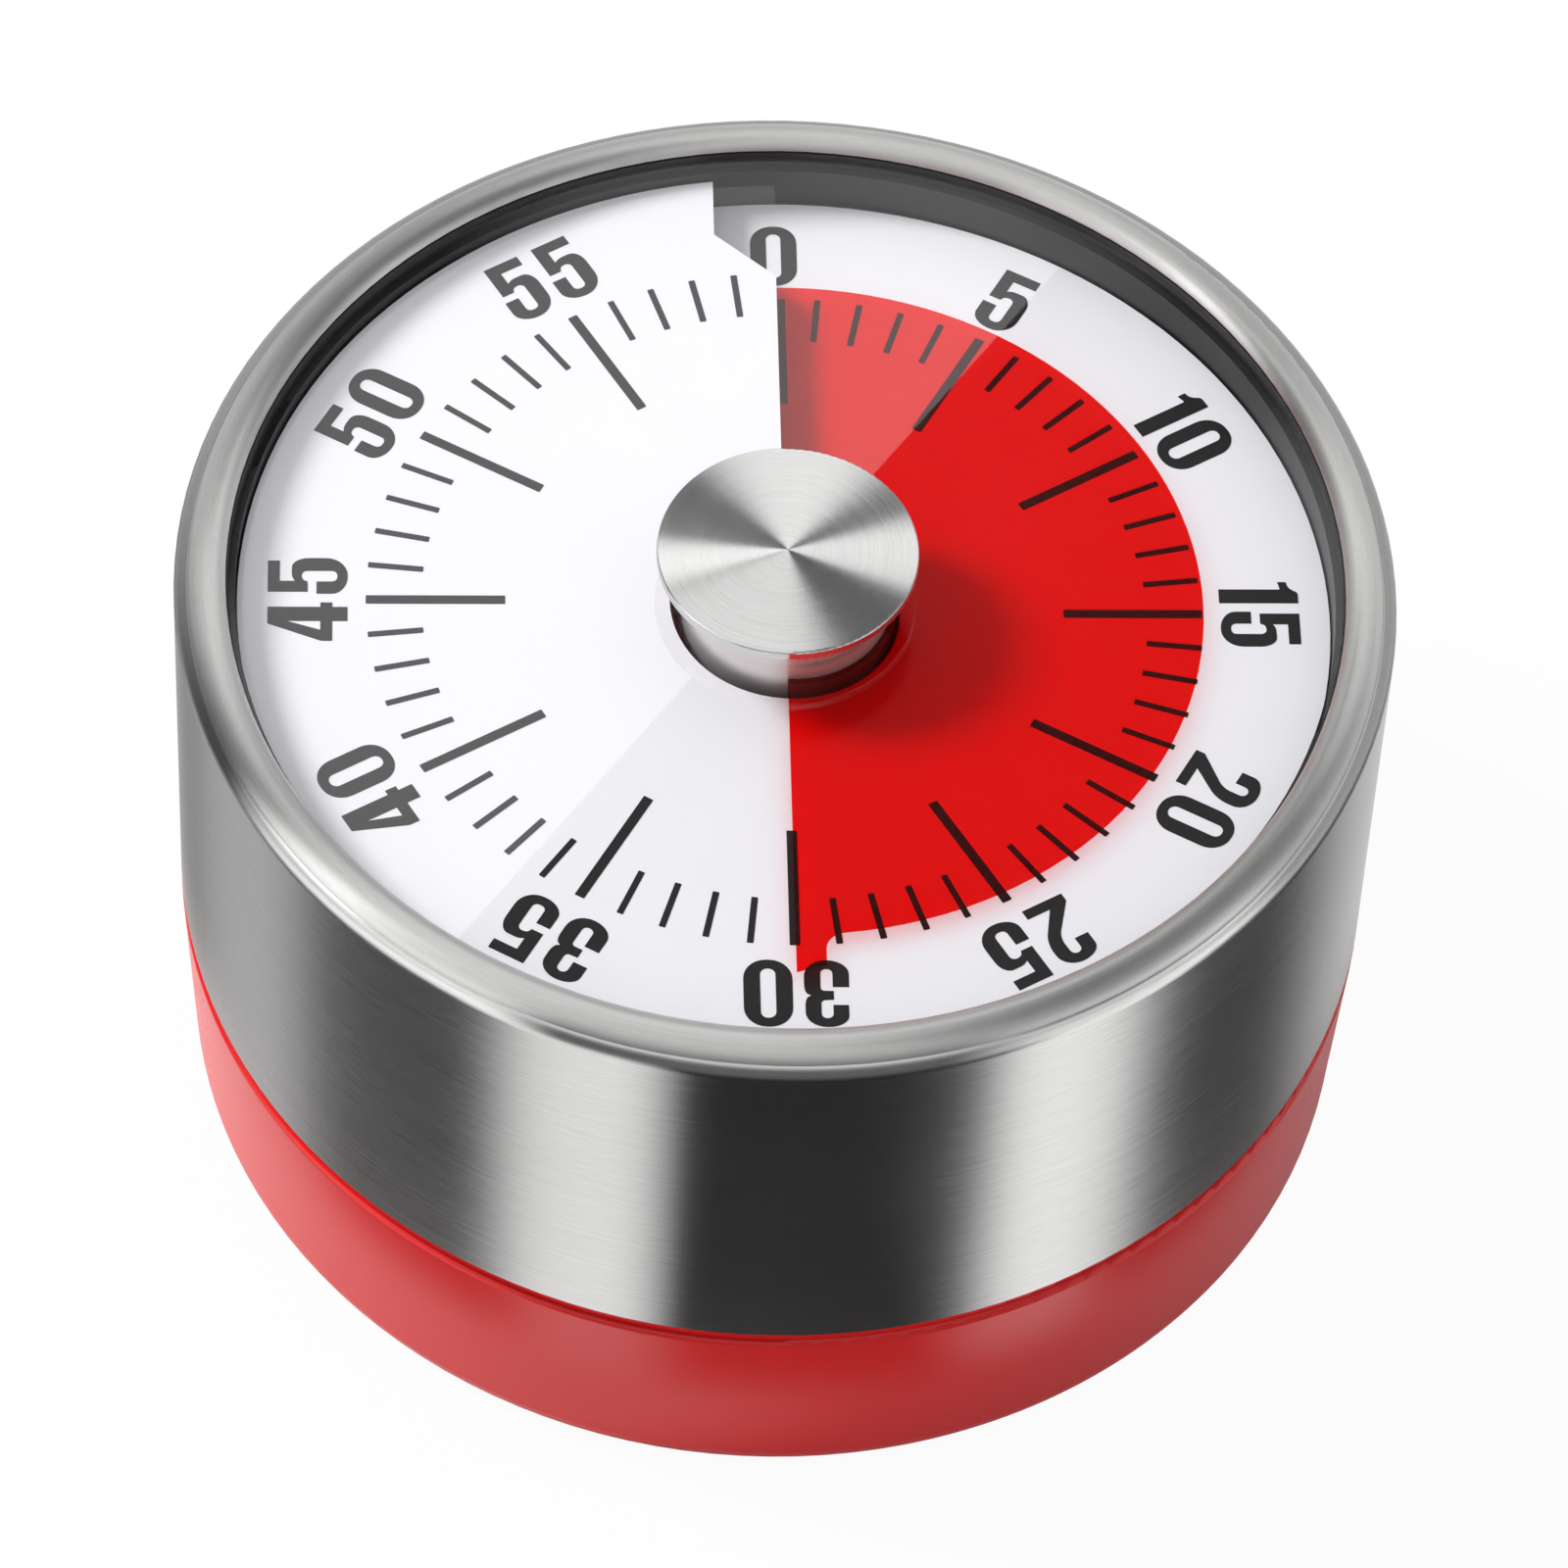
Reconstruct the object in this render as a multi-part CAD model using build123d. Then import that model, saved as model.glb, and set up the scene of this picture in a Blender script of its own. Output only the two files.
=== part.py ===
from build123d import *
import os
from math import atan, atan2, cos, degrees, hypot, pi, radians, sin, sqrt, tan

# Visual countdown timer: steel band over a red base, a sunk white dial split along a
# radius, a red film that turns with the knob through that split, and a spring-driven
# bell movement underneath.
# Millimetres. +Z is up through the knob, the zero mark of the dial lies towards +Y and
# the fifteen minute mark towards +X. The origin is the centre of the underside.
# Dial angles run clockwise from the zero mark, all other angles run anticlockwise from +X.

os.makedirs("parts", exist_ok=True)

# ---- fits shared by the whole part
RUNNING = 0.05          # radial clearance of a shaft in its hole
END_PLAY = 0.1          # shoulder to plate
THREAD_PLAY = 0.02      # screw in its tapped hole
SCREW_HOLE_PLAY = 0.1   # screw in a plain hole
SLIP = 0.1              # a moulding inside another

# ---- steel band
BAND_R = 39.0
STEEL_T = 0.6
BAND_H = 28.3           # straight side, up to the shoulder
SHOULDER_ROUND = 0.5
BEAD_STEP = 0.9         # from the band's side in to the rim's bead
BEAD_H = 0.9
BEAD_ROUND = 0.8
BEAD_LEAN = 0.1
GROOVE_ROUND = 0.15
RIM_W = 3.3             # from the band's side in to the mouth
MOUTH_ROUND = 0.4
MOUTH_EDGE = 0.5        # height of the turned-in edge

# ---- red base
BASE_H = 15.5
BASE_TAPER = 0.8        # how much smaller the foot is than the band
FOOT_ROUND = 2.0
BASE_EDGE_ROUND = 0.35
STRIP_DEPTH = 0.4       # narrow strip between base and band
STRIP_H = 1.1
SPIGOT_PLAY = 0.15
SPIGOT_H = 3.4
BASE_WALL = 2.0
FLOOR_T = 2.4
FLOOR_ROUND = 1.0
FOOT_RING_W = 9.0       # from the foot's edge in to the recess
RECESS_DEPTH = 0.5

# ---- magnet in the underside
MAGNET_R = 14.0
MAGNET_HOLE_R = 5.0
MAGNET_T = 2.2
MAGNET_SETBACK = 0.2
KEEPER_T = 0.5
POCKET_WALL = 1.4

# ---- black carrier that holds dial and movement
CARRIER_WALL = 1.65
CARRIER_FLOOR_T = 1.6
CARRIER_HOLE_R = 8.5
CASE_SCREW_INSET = 5.7  # from the band's side in to each case screw
CASE_SCREW_ANGLES = (35, 155, 275)
CASE_BOSS_R = 2.4
CASE_RIB_W = 1.6        # web from each boss to the carrier's wall
CASE_TOWER_R = 3.0
CASE_TOWER_TOP = 6.0
CASE_SCREW_R = 1.25
CASE_SCREW_HEAD_R = 2.3
CASE_SCREW_HEAD_H = 1.5
CASE_SCREW_LENGTH = 9.0
HEAD_PLAY = 0.3
PILOT_SPARE = 1.0       # depth of a pilot hole past the tip of its screw
DRIVE_SLOT_W = 0.6
DRIVE_SLOT_DEPTH = 0.6

# ---- dial, film and lens
DIAL_PLAY = 0.15
DIAL_HOLE_PLAY = 0.3
DIAL_T = 0.08
RAMP_RISE = 2.6         # rise of the dial over one full turn
DIAL_HEADROOM = 0.6     # from the dial's highest point to the lens
DIAL_FLOOR_GAP = 1.6    # from the dial's lowest point to the carrier's floor
DIAL_TUCK_DEG = 8       # how far the low end runs on under the raised leaf
LEAF_NOTCH_W = 4.0
LEAF_NOTCH_R = 30.2
LEAF_POINT_R = 26.6
LEDGE_W = 3.9
LEDGE_STOP_DEG = 350
FILM_R = 26.8
FILM_T = 0.06
FILM_TRAVEL_DEG = 330   # zero to fifty-five minutes
FILM_LEAD_DEG = 180     # the timer is modelled set to thirty minutes
POINTER_W = 1.9
POINTER_R = 29.7
POINTER_SLANT = 0.6
POINTER_FILLET = 1.3
LENS_SEAT_W = 0.45
LENS_PLAY = 0.05
LENS_DEPTH = 1.4        # from the mouth down to the lens's underside
LENS_T = 1.0
LENS_HOLE_PLAY = 0.25

# ---- knob
STEM_R = 6.7
STEM_WALL = 1.5
HUB_WALL = 0.4
HUB_LIFT = 0.3
HUB_T = 1.2
CAP_R = 8.35
CAP_T = 0.8
CAP_EDGE_ROUND = 0.15
CAP_LIFT = 1.3          # the cap's underside above the bead
CAP_SPIGOT_R = 3.0
CAP_SPIGOT_H = 1.0
CORE_ROOF = 1.1         # core left between the arbor's end and the cap's spigot

# ---- movement plates
PLATE_GAP = 1.9         # from the plates to the case bosses
PLATE_T = 1.0
PILLAR_R = 2.0
PILLAR_INSET = 2.5      # from the plate's edge in to each pillar
PILLAR_ANGLES = (-12, 140, 262)
SCREW_R = 1.0
SCREW_HEAD_R = 2.0
SCREW_HEAD_H = 1.0
SCREW_REACH = 4.5
POST_RING_R = 24.0
POST_ANGLES = (68, 180, 285)
POST_R = 2.6
POST_H = 6.0

# ---- main arbor and spring
ARBOR_R = 2.0
ARBOR_JOURNAL_R = 1.8
ARBOR_PIVOT_R = 1.0
SPRING_INNER_R = 2.45
SPRING_TURNS = 7
SPRING_PITCH = 1.24
SPRING_T = 0.3
SPRING_UP = 0.8
SPRING_H = 4.6
SPRING_POST_R = 0.9
SPRING_POST_H = 6.0

# ---- gear train
PRESSURE_DEG = 20
ADDENDUM = 0.65         # tooth height above the pitch circle, in modules
DEDENDUM = 0.85
TOOTH_PLAY = 0.06
FIRST_MODULE = 0.5
TRAIN_MODULE = 0.4
GREAT_TEETH = 60
SECOND_LEAVES = 12
SECOND_TEETH = 48
THIRD_LEAVES = 12
THIRD_TEETH = 40
ESCAPE_LEAVES = 10
SECOND_DIRECTION = 20
THIRD_DIRECTION = 114
ESCAPE_DIRECTION = 176
BALANCE_DIRECTION = 172
SHAFT_R = 0.9
PIVOT_R = 0.5
WHEEL_RIM = 1.4
WHEEL_BOSS_R = 2.4
SPOKE_W = 1.4
SPOKES = 5
ESCAPE_UP = 1.0         # escape wheel over the back plate
THIRD_UP = 2.6          # each wheel over the one before it
SECOND_UP = 3.0
GREAT_UP = 2.2
CAM_CLEARANCE = 0.6     # cam under the front plate
GREAT_T = 1.0
WHEEL_T = 0.8
LEAF_OVERHANG = 0.6     # pinion leaves stand past their wheel by this much
CLUTCH_R = 5.5
CLUTCH_T = 0.3
CLUTCH_H = 1.6
CAM_R = 8.0
CAM_T = 1.0
CAM_NOTCH_R = 1.6
CAM_NOTCH_ANGLE = 70

# ---- escapement
ESCAPE_TEETH = 24
ESCAPE_R = 5.0
ESCAPE_ROOT_R = 4.2
ESCAPE_LEAN = 0.25      # where the root lies between two tips, 0.5 being midway
BALANCE_DISTANCE = 8.5
BALANCE_R = 7.0
BALANCE_RIM = 1.4
BALANCE_UP = 6.0
BALANCE_T = 1.5
BALANCE_SPOKES = 3
BALANCE_HUB_R = 1.6
BALANCE_STAFF_R = 0.8
PALLET_SPREAD_DEG = 35
PALLET_PIN_R = 0.35
PALLET_GAP = 0.85
PALLET_GAP_Z = 0.2
PALLET_ARM_W = 1.2

# ---- alarm
BELL_SPOT = (0.0, -4.0)
BELL_R = 19.5
BELL_T = 0.8
BELL_H = 6.8
BELL_ROUND = 4.0
BELL_POST_R = 2.2
BELL_POST_H = 1.8
HAMMER_INSET = 5.0      # from the plate's edge in to the hammer's arbor
HAMMER_ANGLE = -25
HAMMER_SHAFT_R = 1.0
HAMMER_HEAD_R = 1.8
HAMMER_HEAD_H = 6.2
HAMMER_GAP = 0.8        # head to bell at rest
HAMMER_HEAD_ANGLE = -50
HAMMER_ARM_DROP = 1.2   # arm under the back plate
HAMMER_TAIL_UP = 1.2
HAMMER_HEEL = 4.0
HAMMER_RIVET_R = 0.8
HAMMER_ARM_W = 2.4
STAR_POINTS = 6
STAR_R = 3.4
STAR_ROOT_R = 2.1
STAR_LEAN = 0.5
STAR_UP = 1.0
STAR_H = 1.2
STAR_GAP = 0.4
LEVER_T = 0.8
LEVER_W = 1.6
LEVER_HUB_R = 2.2
TRIP_CONTACT_ANGLE = 250
TRIP_ARM = 12.0
TRIP_GAP = 0.1
TRIP_TAIL_GAP = 0.4
TRIP_STUD_R = 1.0
TRIP_STUD_HEAD_R = 1.7
TRIP_STUD_HEAD_T = 0.6
CATCH_REACH = 1.8
CATCH_HUB_R = 1.8
LEAF_T = 0.3
CLIP_T = 0.5
LEAF_HEEL_GAP = 2.1
WIRE_R = 0.3
WIRE_PEG_R = 0.6
WIRE_FOOT = (20.0, -1.5)
WIRE_END_GAP = 2.4

UP = (Align.CENTER, Align.CENTER, Align.MIN)


# ---- small helpers
def polar(radius, angle, centre=(0.0, 0.0)):
    return (centre[0] + radius * cos(radians(angle)), centre[1] + radius * sin(radians(angle)))


def distance(a, b):
    return hypot(b[0] - a[0], b[1] - a[1])


def direction(a, b):
    return degrees(atan2(b[1] - a[1], b[0] - a[0]))


def rod(radius, low, high, spot=(0.0, 0.0)):
    return Pos(spot[0], spot[1], low) * Cylinder(radius, high - low, align=UP)


def tube(outer, inner, low, high, spot=(0.0, 0.0)):
    return rod(outer, low, high, spot) - rod(inner, low, high, spot)


def slab(face, low, high, spot=(0.0, 0.0), turn=0.0):
    return Pos(spot[0], spot[1], low) * Rot(0, 0, turn) * extrude(face, high - low)


def turned(*corners):
    """Solid of revolution about Z; each corner is radius, height and the round on it."""
    outline = FilletPolyline(
        *[(radius, height) for radius, height, _ in corners],
        radius=[rounding for _, _, rounding in corners],
        close=True,
    )
    return revolve(Plane.XZ * make_face(outline), Axis.Z)


def bar(start, end, width, low, high):
    """A flat bar with round ends centred on two points."""
    middle = ((start[0] + end[0]) / 2, (start[1] + end[1]) / 2)
    return slab(SlotCenterToCenter(distance(start, end), width), low, high, middle, direction(start, end))


def ramp_sheet(inner, outer, start_deg, end_deg, height_at_zero, thickness):
    """A sheet that rises evenly with the dial angle; a negative thickness hangs below it."""
    rise = RAMP_RISE * (end_deg - start_deg) / 360
    start_height = height_at_zero + RAMP_RISE * start_deg / 360
    rims = [
        Pos(0, 0, start_height)
        * Rot(0, 0, 90 - start_deg)
        * Edge.make_helix(pitch=RAMP_RISE, height=rise, radius=radius, lefthand=True)
        for radius in (inner, outer)
    ]
    return Solid.extrude(Face.make_surface_from_curves(*rims), Vector(0, 0, thickness))


def gear_face(teeth, module, tooth_angle):
    """Involute gear outline with one tooth centred on the given angle."""
    pitch_r = teeth * module / 2
    base_r = pitch_r * cos(radians(PRESSURE_DEG))
    root_r = pitch_r - DEDENDUM * module
    tip_r = pitch_r + ADDENDUM * module
    lean = tan(radians(PRESSURE_DEG)) - radians(PRESSURE_DEG)
    half_tooth = pi / (2 * teeth) - TOOTH_PLAY / (2 * pitch_r) + lean

    def flank(radius):
        roll = sqrt(max((radius / base_r) ** 2 - 1, 0))
        return (radius, half_tooth - (roll - atan(roll)))

    start_r = max(base_r, root_r)
    flanks = [flank(start_r), flank((start_r + tip_r) / 2), flank(tip_r)]
    if root_r < base_r:
        flanks.insert(0, (root_r, half_tooth))
    points = []
    for tooth in range(teeth):
        centre = radians(tooth_angle) + 2 * pi * tooth / teeth
        for radius, half in flanks:
            points.append((radius * cos(centre - half), radius * sin(centre - half)))
        for radius, half in reversed(flanks):
            points.append((radius * cos(centre + half), radius * sin(centre + half)))
    return make_face(Polyline(*points, close=True))


def star_face(points, tip_r, root_r, lean):
    """Pointed wheel; lean places each root between its two tips."""
    step = 360 / points
    outline = []
    for point in range(points):
        outline.append(polar(tip_r, point * step))
        outline.append(polar(root_r, (point + lean) * step))
    return make_face(Polyline(*outline, close=True))


def windows(root_r, boss_r, low, high, spot):
    """Round holes between the spokes of a wheel."""
    ring_r = (root_r - WHEEL_RIM + boss_r) / 2
    room = (root_r - WHEEL_RIM - boss_r) / 2
    window_r = min(room, ring_r * sin(pi / SPOKES) - SPOKE_W / 2)
    return [rod(window_r, low, high, polar(ring_r, 360 * hole / SPOKES, spot)) for hole in range(SPOKES)]


def drive_slot(length, low, spot, turn=0.0):
    slot = Box(length, DRIVE_SLOT_W, DRIVE_SLOT_DEPTH, align=UP)
    return Pos(spot[0], spot[1], low) * Rot(0, 0, turn) * slot


def save(name, *solids):
    """Write one node; several solids stay separate inside it."""
    bodies = [solid for shape in solids for solid in shape.solids()]
    shape = bodies[0] if len(bodies) == 1 else Compound(label=name, children=bodies)
    export_step(shape, f"parts/{name}.step")


# ---- radii that follow from the band and the stem
BEAD_R = BAND_R - BEAD_STEP
MOUTH_R = BAND_R - RIM_W
BAND_INNER_R = BAND_R - STEEL_T
SPIGOT_R = BAND_INNER_R - SPIGOT_PLAY
STRIP_R = BAND_R - STRIP_DEPTH
BASE_FOOT_R = BAND_R - BASE_TAPER
RECESS_R = BASE_FOOT_R - FOOT_RING_W
CARRIER_INNER_R = SPIGOT_R - CARRIER_WALL
BEZEL_R = CARRIER_INNER_R - SLIP
BEZEL_HIGH_R = MOUTH_R - SLIP
BEZEL_LOW_R = BEZEL_HIGH_R - LENS_SEAT_W
DIAL_R = BEZEL_LOW_R - DIAL_PLAY
LEDGE_R = DIAL_R - LEDGE_W
HUB_R = STEM_R + HUB_WALL
DIAL_HOLE_R = HUB_R + DIAL_HOLE_PLAY
CASE_SCREW_RING_R = BAND_R - CASE_SCREW_INSET
PLATE_R = CASE_SCREW_RING_R - CASE_BOSS_R - PLATE_GAP
PILLAR_RING_R = PLATE_R - PILLAR_INSET

# ---- levels of the case, from the underside up
BASE_TOP = BASE_H
BAND_BOTTOM = BASE_TOP + STRIP_H
SPIGOT_TOP = BAND_BOTTOM + SPIGOT_H
SHOULDER_Z = BAND_BOTTOM + BAND_H
BEAD_TOP = SHOULDER_Z + BEAD_H
MOUTH_Z = BEAD_TOP - MOUTH_EDGE
CAP_BOTTOM = BEAD_TOP + CAP_LIFT
ARBOR_TOP = CAP_BOTTOM - CAP_SPIGOT_H - CORE_ROOF

# ---- levels of the dial, from the lens down
LENS_BOTTOM = MOUTH_Z - LENS_DEPTH
RAMP_LOW_Z = LENS_BOTTOM - DIAL_HEADROOM - RAMP_RISE    # the dial just clockwise of its zero mark
CARRIER_FLOOR_TOP = RAMP_LOW_Z - DIAL_FLOOR_GAP
CARRIER_FLOOR_Z = CARRIER_FLOOR_TOP - CARRIER_FLOOR_T
LEDGE_DEPTH = RAMP_RISE + DIAL_FLOOR_GAP
HUB_BOTTOM = CARRIER_FLOOR_TOP + HUB_LIFT
HUB_TOP = HUB_BOTTOM + HUB_T

# ---- levels of the movement: the plates stand as far apart as its wheels need
FRONT_PLATE_TOP = CARRIER_FLOOR_Z - POST_H
FRONT_PLATE_Z = FRONT_PLATE_TOP - PLATE_T
CAM_TOP = FRONT_PLATE_Z - CAM_CLEARANCE
CAM_Z = CAM_TOP - CAM_T
GREAT_Z = CAM_Z - CLUTCH_H - GREAT_T
SECOND_Z = GREAT_Z - GREAT_UP
THIRD_Z = SECOND_Z - SECOND_UP
ESCAPE_Z = THIRD_Z - THIRD_UP
BACK_PLATE_TOP = ESCAPE_Z - ESCAPE_UP
BACK_PLATE_Z = BACK_PLATE_TOP - PLATE_T
SHAFT_LOW = BACK_PLATE_TOP + END_PLAY
SHAFT_HIGH = FRONT_PLATE_Z - END_PLAY
PIVOT_LOW = BACK_PLATE_Z + END_PLAY
PIVOT_HIGH = FRONT_PLATE_TOP - END_PLAY
SPRING_LOW = BACK_PLATE_TOP + SPRING_UP
BALANCE_Z = BACK_PLATE_TOP + BALANCE_UP
STAR_LOW = BACK_PLATE_TOP + STAR_UP
HAMMER_TAIL_LOW = BACK_PLATE_TOP + HAMMER_TAIL_UP
HAMMER_ARM_LOW = BACK_PLATE_Z - HAMMER_ARM_DROP
BELL_TOP = BACK_PLATE_Z - BELL_POST_H

# ---- where the shafts stand
CENTRE = (0.0, 0.0)
SECOND = polar(FIRST_MODULE * (GREAT_TEETH + SECOND_LEAVES) / 2, SECOND_DIRECTION)
THIRD = polar(TRAIN_MODULE * (SECOND_TEETH + THIRD_LEAVES) / 2, THIRD_DIRECTION, SECOND)
ESCAPE = polar(TRAIN_MODULE * (THIRD_TEETH + ESCAPE_LEAVES) / 2, ESCAPE_DIRECTION, THIRD)
BALANCE = polar(BALANCE_DISTANCE, BALANCE_DIRECTION, ESCAPE)
HAMMER = polar(PLATE_R - HAMMER_INSET, HAMMER_ANGLE)
HAMMER_HEAD = polar(BELL_R + HAMMER_HEAD_R + HAMMER_GAP, HAMMER_HEAD_ANGLE, BELL_SPOT)
TRIP_NOSE = polar(CAM_R + TRIP_GAP + LEVER_W / 2, TRIP_CONTACT_ANGLE)
TRIP = polar(TRIP_ARM, TRIP_CONTACT_ANGLE + 90, TRIP_NOSE)
PILLARS = [polar(PILLAR_RING_R, angle) for angle in PILLAR_ANGLES]
POSTS = [polar(POST_RING_R, angle) for angle in POST_ANGLES]
CASE_SCREWS = [polar(CASE_SCREW_RING_R, angle) for angle in CASE_SCREW_ANGLES]
SPRING_OUTER_R = SPRING_INNER_R + SPRING_TURNS * SPRING_PITCH
SPRING_POST = (-(SPRING_OUTER_R + SPRING_T / 2 + SPRING_POST_R), 0.0)

# The film hangs between the two layers of the dial, midway over its whole travel.
FILM_DROP = (RAMP_RISE * (1 - FILM_TRAVEL_DEG / 360) + DIAL_T + FILM_T) / 2
FILM_AT_ZERO = RAMP_LOW_Z + RAMP_RISE * (1 - FILM_LEAD_DEG / 360) - FILM_DROP
FILM_TAIL_DEG = FILM_LEAD_DEG - FILM_TRAVEL_DEG


# ---- case
def steel_shell():
    inner_bead_r = BEAD_R - STEEL_T - BEAD_LEAN
    return turned(
        (BAND_R, BAND_BOTTOM, 0),
        (BAND_R, SHOULDER_Z, SHOULDER_ROUND),
        (BEAD_R, SHOULDER_Z, GROOVE_ROUND),
        (BEAD_R - BEAD_LEAN, BEAD_TOP, BEAD_ROUND),
        (MOUTH_R, BEAD_TOP, MOUTH_ROUND),
        (MOUTH_R, MOUTH_Z, 0),
        (inner_bead_r, MOUTH_Z, 0),
        (inner_bead_r, SHOULDER_Z - STEEL_T, 0),
        (BAND_INNER_R, SHOULDER_Z - STEEL_T, 0),
        (BAND_INNER_R, BAND_BOTTOM, 0),
    )


def base_shell():
    cavity_r = BAND_R - BASE_WALL
    pocket_top = RECESS_DEPTH + MAGNET_SETBACK + MAGNET_T + KEEPER_T
    shell = turned(
        (0, 0, 0),
        (BASE_FOOT_R, 0, FOOT_ROUND),
        (BAND_R, BASE_TOP, BASE_EDGE_ROUND),
        (STRIP_R, BASE_TOP, 0),
        (STRIP_R, BAND_BOTTOM, 0),
        (SPIGOT_R, BAND_BOTTOM, 0),
        (SPIGOT_R, SPIGOT_TOP, 0),
        (cavity_r, SPIGOT_TOP, 0),
        (cavity_r, FLOOR_T, FLOOR_ROUND),
        (0, FLOOR_T, 0),
    )
    shell += rod(MAGNET_R + POCKET_WALL, FLOOR_T, pocket_top + POCKET_WALL)
    for spot in CASE_SCREWS:
        shell += rod(CASE_TOWER_R, FLOOR_T, CASE_TOWER_TOP, spot)
    shell -= rod(RECESS_R, 0, RECESS_DEPTH)
    shell -= rod(MAGNET_R + SLIP, 0, pocket_top)
    for spot in CASE_SCREWS:
        shell -= rod(CASE_SCREW_HEAD_R + HEAD_PLAY, 0, case_screw_seat(), spot)
        shell -= rod(CASE_SCREW_R + SCREW_HOLE_PLAY, 0, CASE_TOWER_TOP, spot)
    return shell


def case_screw_seat():
    return RECESS_DEPTH + MAGNET_SETBACK + CASE_SCREW_HEAD_H


def base_screws():
    seat = case_screw_seat()
    screws = []
    for spot in CASE_SCREWS:
        screw = rod(CASE_SCREW_HEAD_R, seat - CASE_SCREW_HEAD_H, seat, spot)
        screw += rod(CASE_SCREW_R, seat, seat + CASE_SCREW_LENGTH, spot)
        for turn in (0, 90):
            screw -= drive_slot(CASE_SCREW_HEAD_R, seat - CASE_SCREW_HEAD_H, spot, turn)
        screws.append(screw)
    return screws


def magnet_ring():
    low = RECESS_DEPTH + MAGNET_SETBACK
    return tube(MAGNET_R, MAGNET_HOLE_R, low, low + MAGNET_T)


def magnet_keeper():
    low = RECESS_DEPTH + MAGNET_SETBACK + MAGNET_T
    return rod(MAGNET_R, low, low + KEEPER_T)


def dial_carrier():
    carrier = tube(SPIGOT_R, CARRIER_INNER_R, SPIGOT_TOP, SHOULDER_Z - STEEL_T - SLIP)
    carrier += tube(CARRIER_INNER_R, CARRIER_HOLE_R, CARRIER_FLOOR_Z, CARRIER_FLOOR_TOP)
    ledge_r = BEZEL_LOW_R - SLIP
    ledge = ramp_sheet(LEDGE_R, ledge_r, -DIAL_TUCK_DEG, LEDGE_STOP_DEG, RAMP_LOW_Z - DIAL_T, -LEDGE_DEPTH)
    carrier += ledge & tube(ledge_r, LEDGE_R, CARRIER_FLOOR_Z, BEAD_TOP)
    for angle, spot in zip(CASE_SCREW_ANGLES, CASE_SCREWS):
        carrier += rod(CASE_BOSS_R, CASE_TOWER_TOP, CARRIER_FLOOR_Z, spot)
        carrier += bar(spot, polar(CARRIER_INNER_R, angle), CASE_RIB_W, SPIGOT_TOP, CARRIER_FLOOR_Z)
    for spot in POSTS:
        carrier += rod(POST_R, FRONT_PLATE_TOP, CARRIER_FLOOR_Z, spot)
    for spot in CASE_SCREWS:
        tip = case_screw_seat() + CASE_SCREW_LENGTH
        carrier -= rod(CASE_SCREW_R + THREAD_PLAY, CASE_TOWER_TOP, tip + PILOT_SPARE, spot)
    for spot in POSTS:
        tip = FRONT_PLATE_Z + SCREW_REACH
        carrier -= rod(SCREW_R + THREAD_PLAY, FRONT_PLATE_TOP, tip + PILOT_SPARE, spot)
    return carrier


def bezel_ring():
    top = MOUTH_Z - SLIP
    return turned(
        (BEZEL_R, CARRIER_FLOOR_TOP, 0),
        (BEZEL_R, top, 0),
        (BEZEL_HIGH_R, top, 0),
        (BEZEL_HIGH_R, LENS_BOTTOM, 0),
        (BEZEL_LOW_R, LENS_BOTTOM, 0),
        (BEZEL_LOW_R, CARRIER_FLOOR_TOP, 0),
    )


def lens():
    return tube(BEZEL_HIGH_R - LENS_PLAY, STEM_R + LENS_HOLE_PLAY, LENS_BOTTOM, LENS_BOTTOM + LENS_T)


# ---- dial and film
def dial():
    sheet = ramp_sheet(DIAL_HOLE_R, DIAL_R, -DIAL_TUCK_DEG, 360, RAMP_LOW_Z, -DIAL_T)
    outside = DIAL_R + LEAF_NOTCH_W
    notch = make_face(Polyline(
        (-LEAF_NOTCH_W, outside), (-LEAF_NOTCH_W, LEAF_NOTCH_R), (0, LEAF_POINT_R),
        (LEAF_NOTCH_W, LEAF_POINT_R), (LEAF_NOTCH_W, outside), close=True,
    ))
    between_layers = RAMP_LOW_Z + RAMP_RISE / 2
    return sheet - slab(notch, between_layers, LENS_BOTTOM)


def red_film():
    sheet = ramp_sheet(STEM_R + RUNNING, POINTER_R, FILM_TAIL_DEG, FILM_LEAD_DEG, FILM_AT_ZERO, FILM_T)
    pointer = make_face(Polyline(
        (0, 0), (POINTER_W, 0), (POINTER_W, POINTER_SLANT - POINTER_R), (0, -POINTER_R), close=True,
    ))
    outline = make_face(Edge.make_circle(FILM_R)) + pointer
    corner = outline.vertices().sort_by_distance((POINTER_W, -FILM_R, 0))[0]
    outline = fillet(corner, POINTER_FILLET)
    return sheet & slab(outline, CARRIER_FLOOR_Z, LENS_BOTTOM)


def film_hub():
    hub = rod(HUB_R, HUB_BOTTOM, HUB_TOP)
    seat = ramp_sheet(STEM_R + RUNNING, HUB_R, FILM_TAIL_DEG, FILM_LEAD_DEG, FILM_AT_ZERO, -LEDGE_DEPTH)
    hub += seat & tube(HUB_R, STEM_R + RUNNING, HUB_BOTTOM, LENS_BOTTOM)
    return hub - rod(ARBOR_JOURNAL_R, HUB_BOTTOM, HUB_TOP)


# ---- knob
def knob_stem():
    return tube(STEM_R, STEM_R - STEM_WALL, HUB_TOP, CAP_BOTTOM)


def knob_core():
    core = rod(STEM_R - STEM_WALL, HUB_TOP, CAP_BOTTOM) - rod(ARBOR_JOURNAL_R, HUB_TOP, ARBOR_TOP)
    return core - rod(CAP_SPIGOT_R + RUNNING, CAP_BOTTOM - CAP_SPIGOT_H, CAP_BOTTOM)


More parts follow.
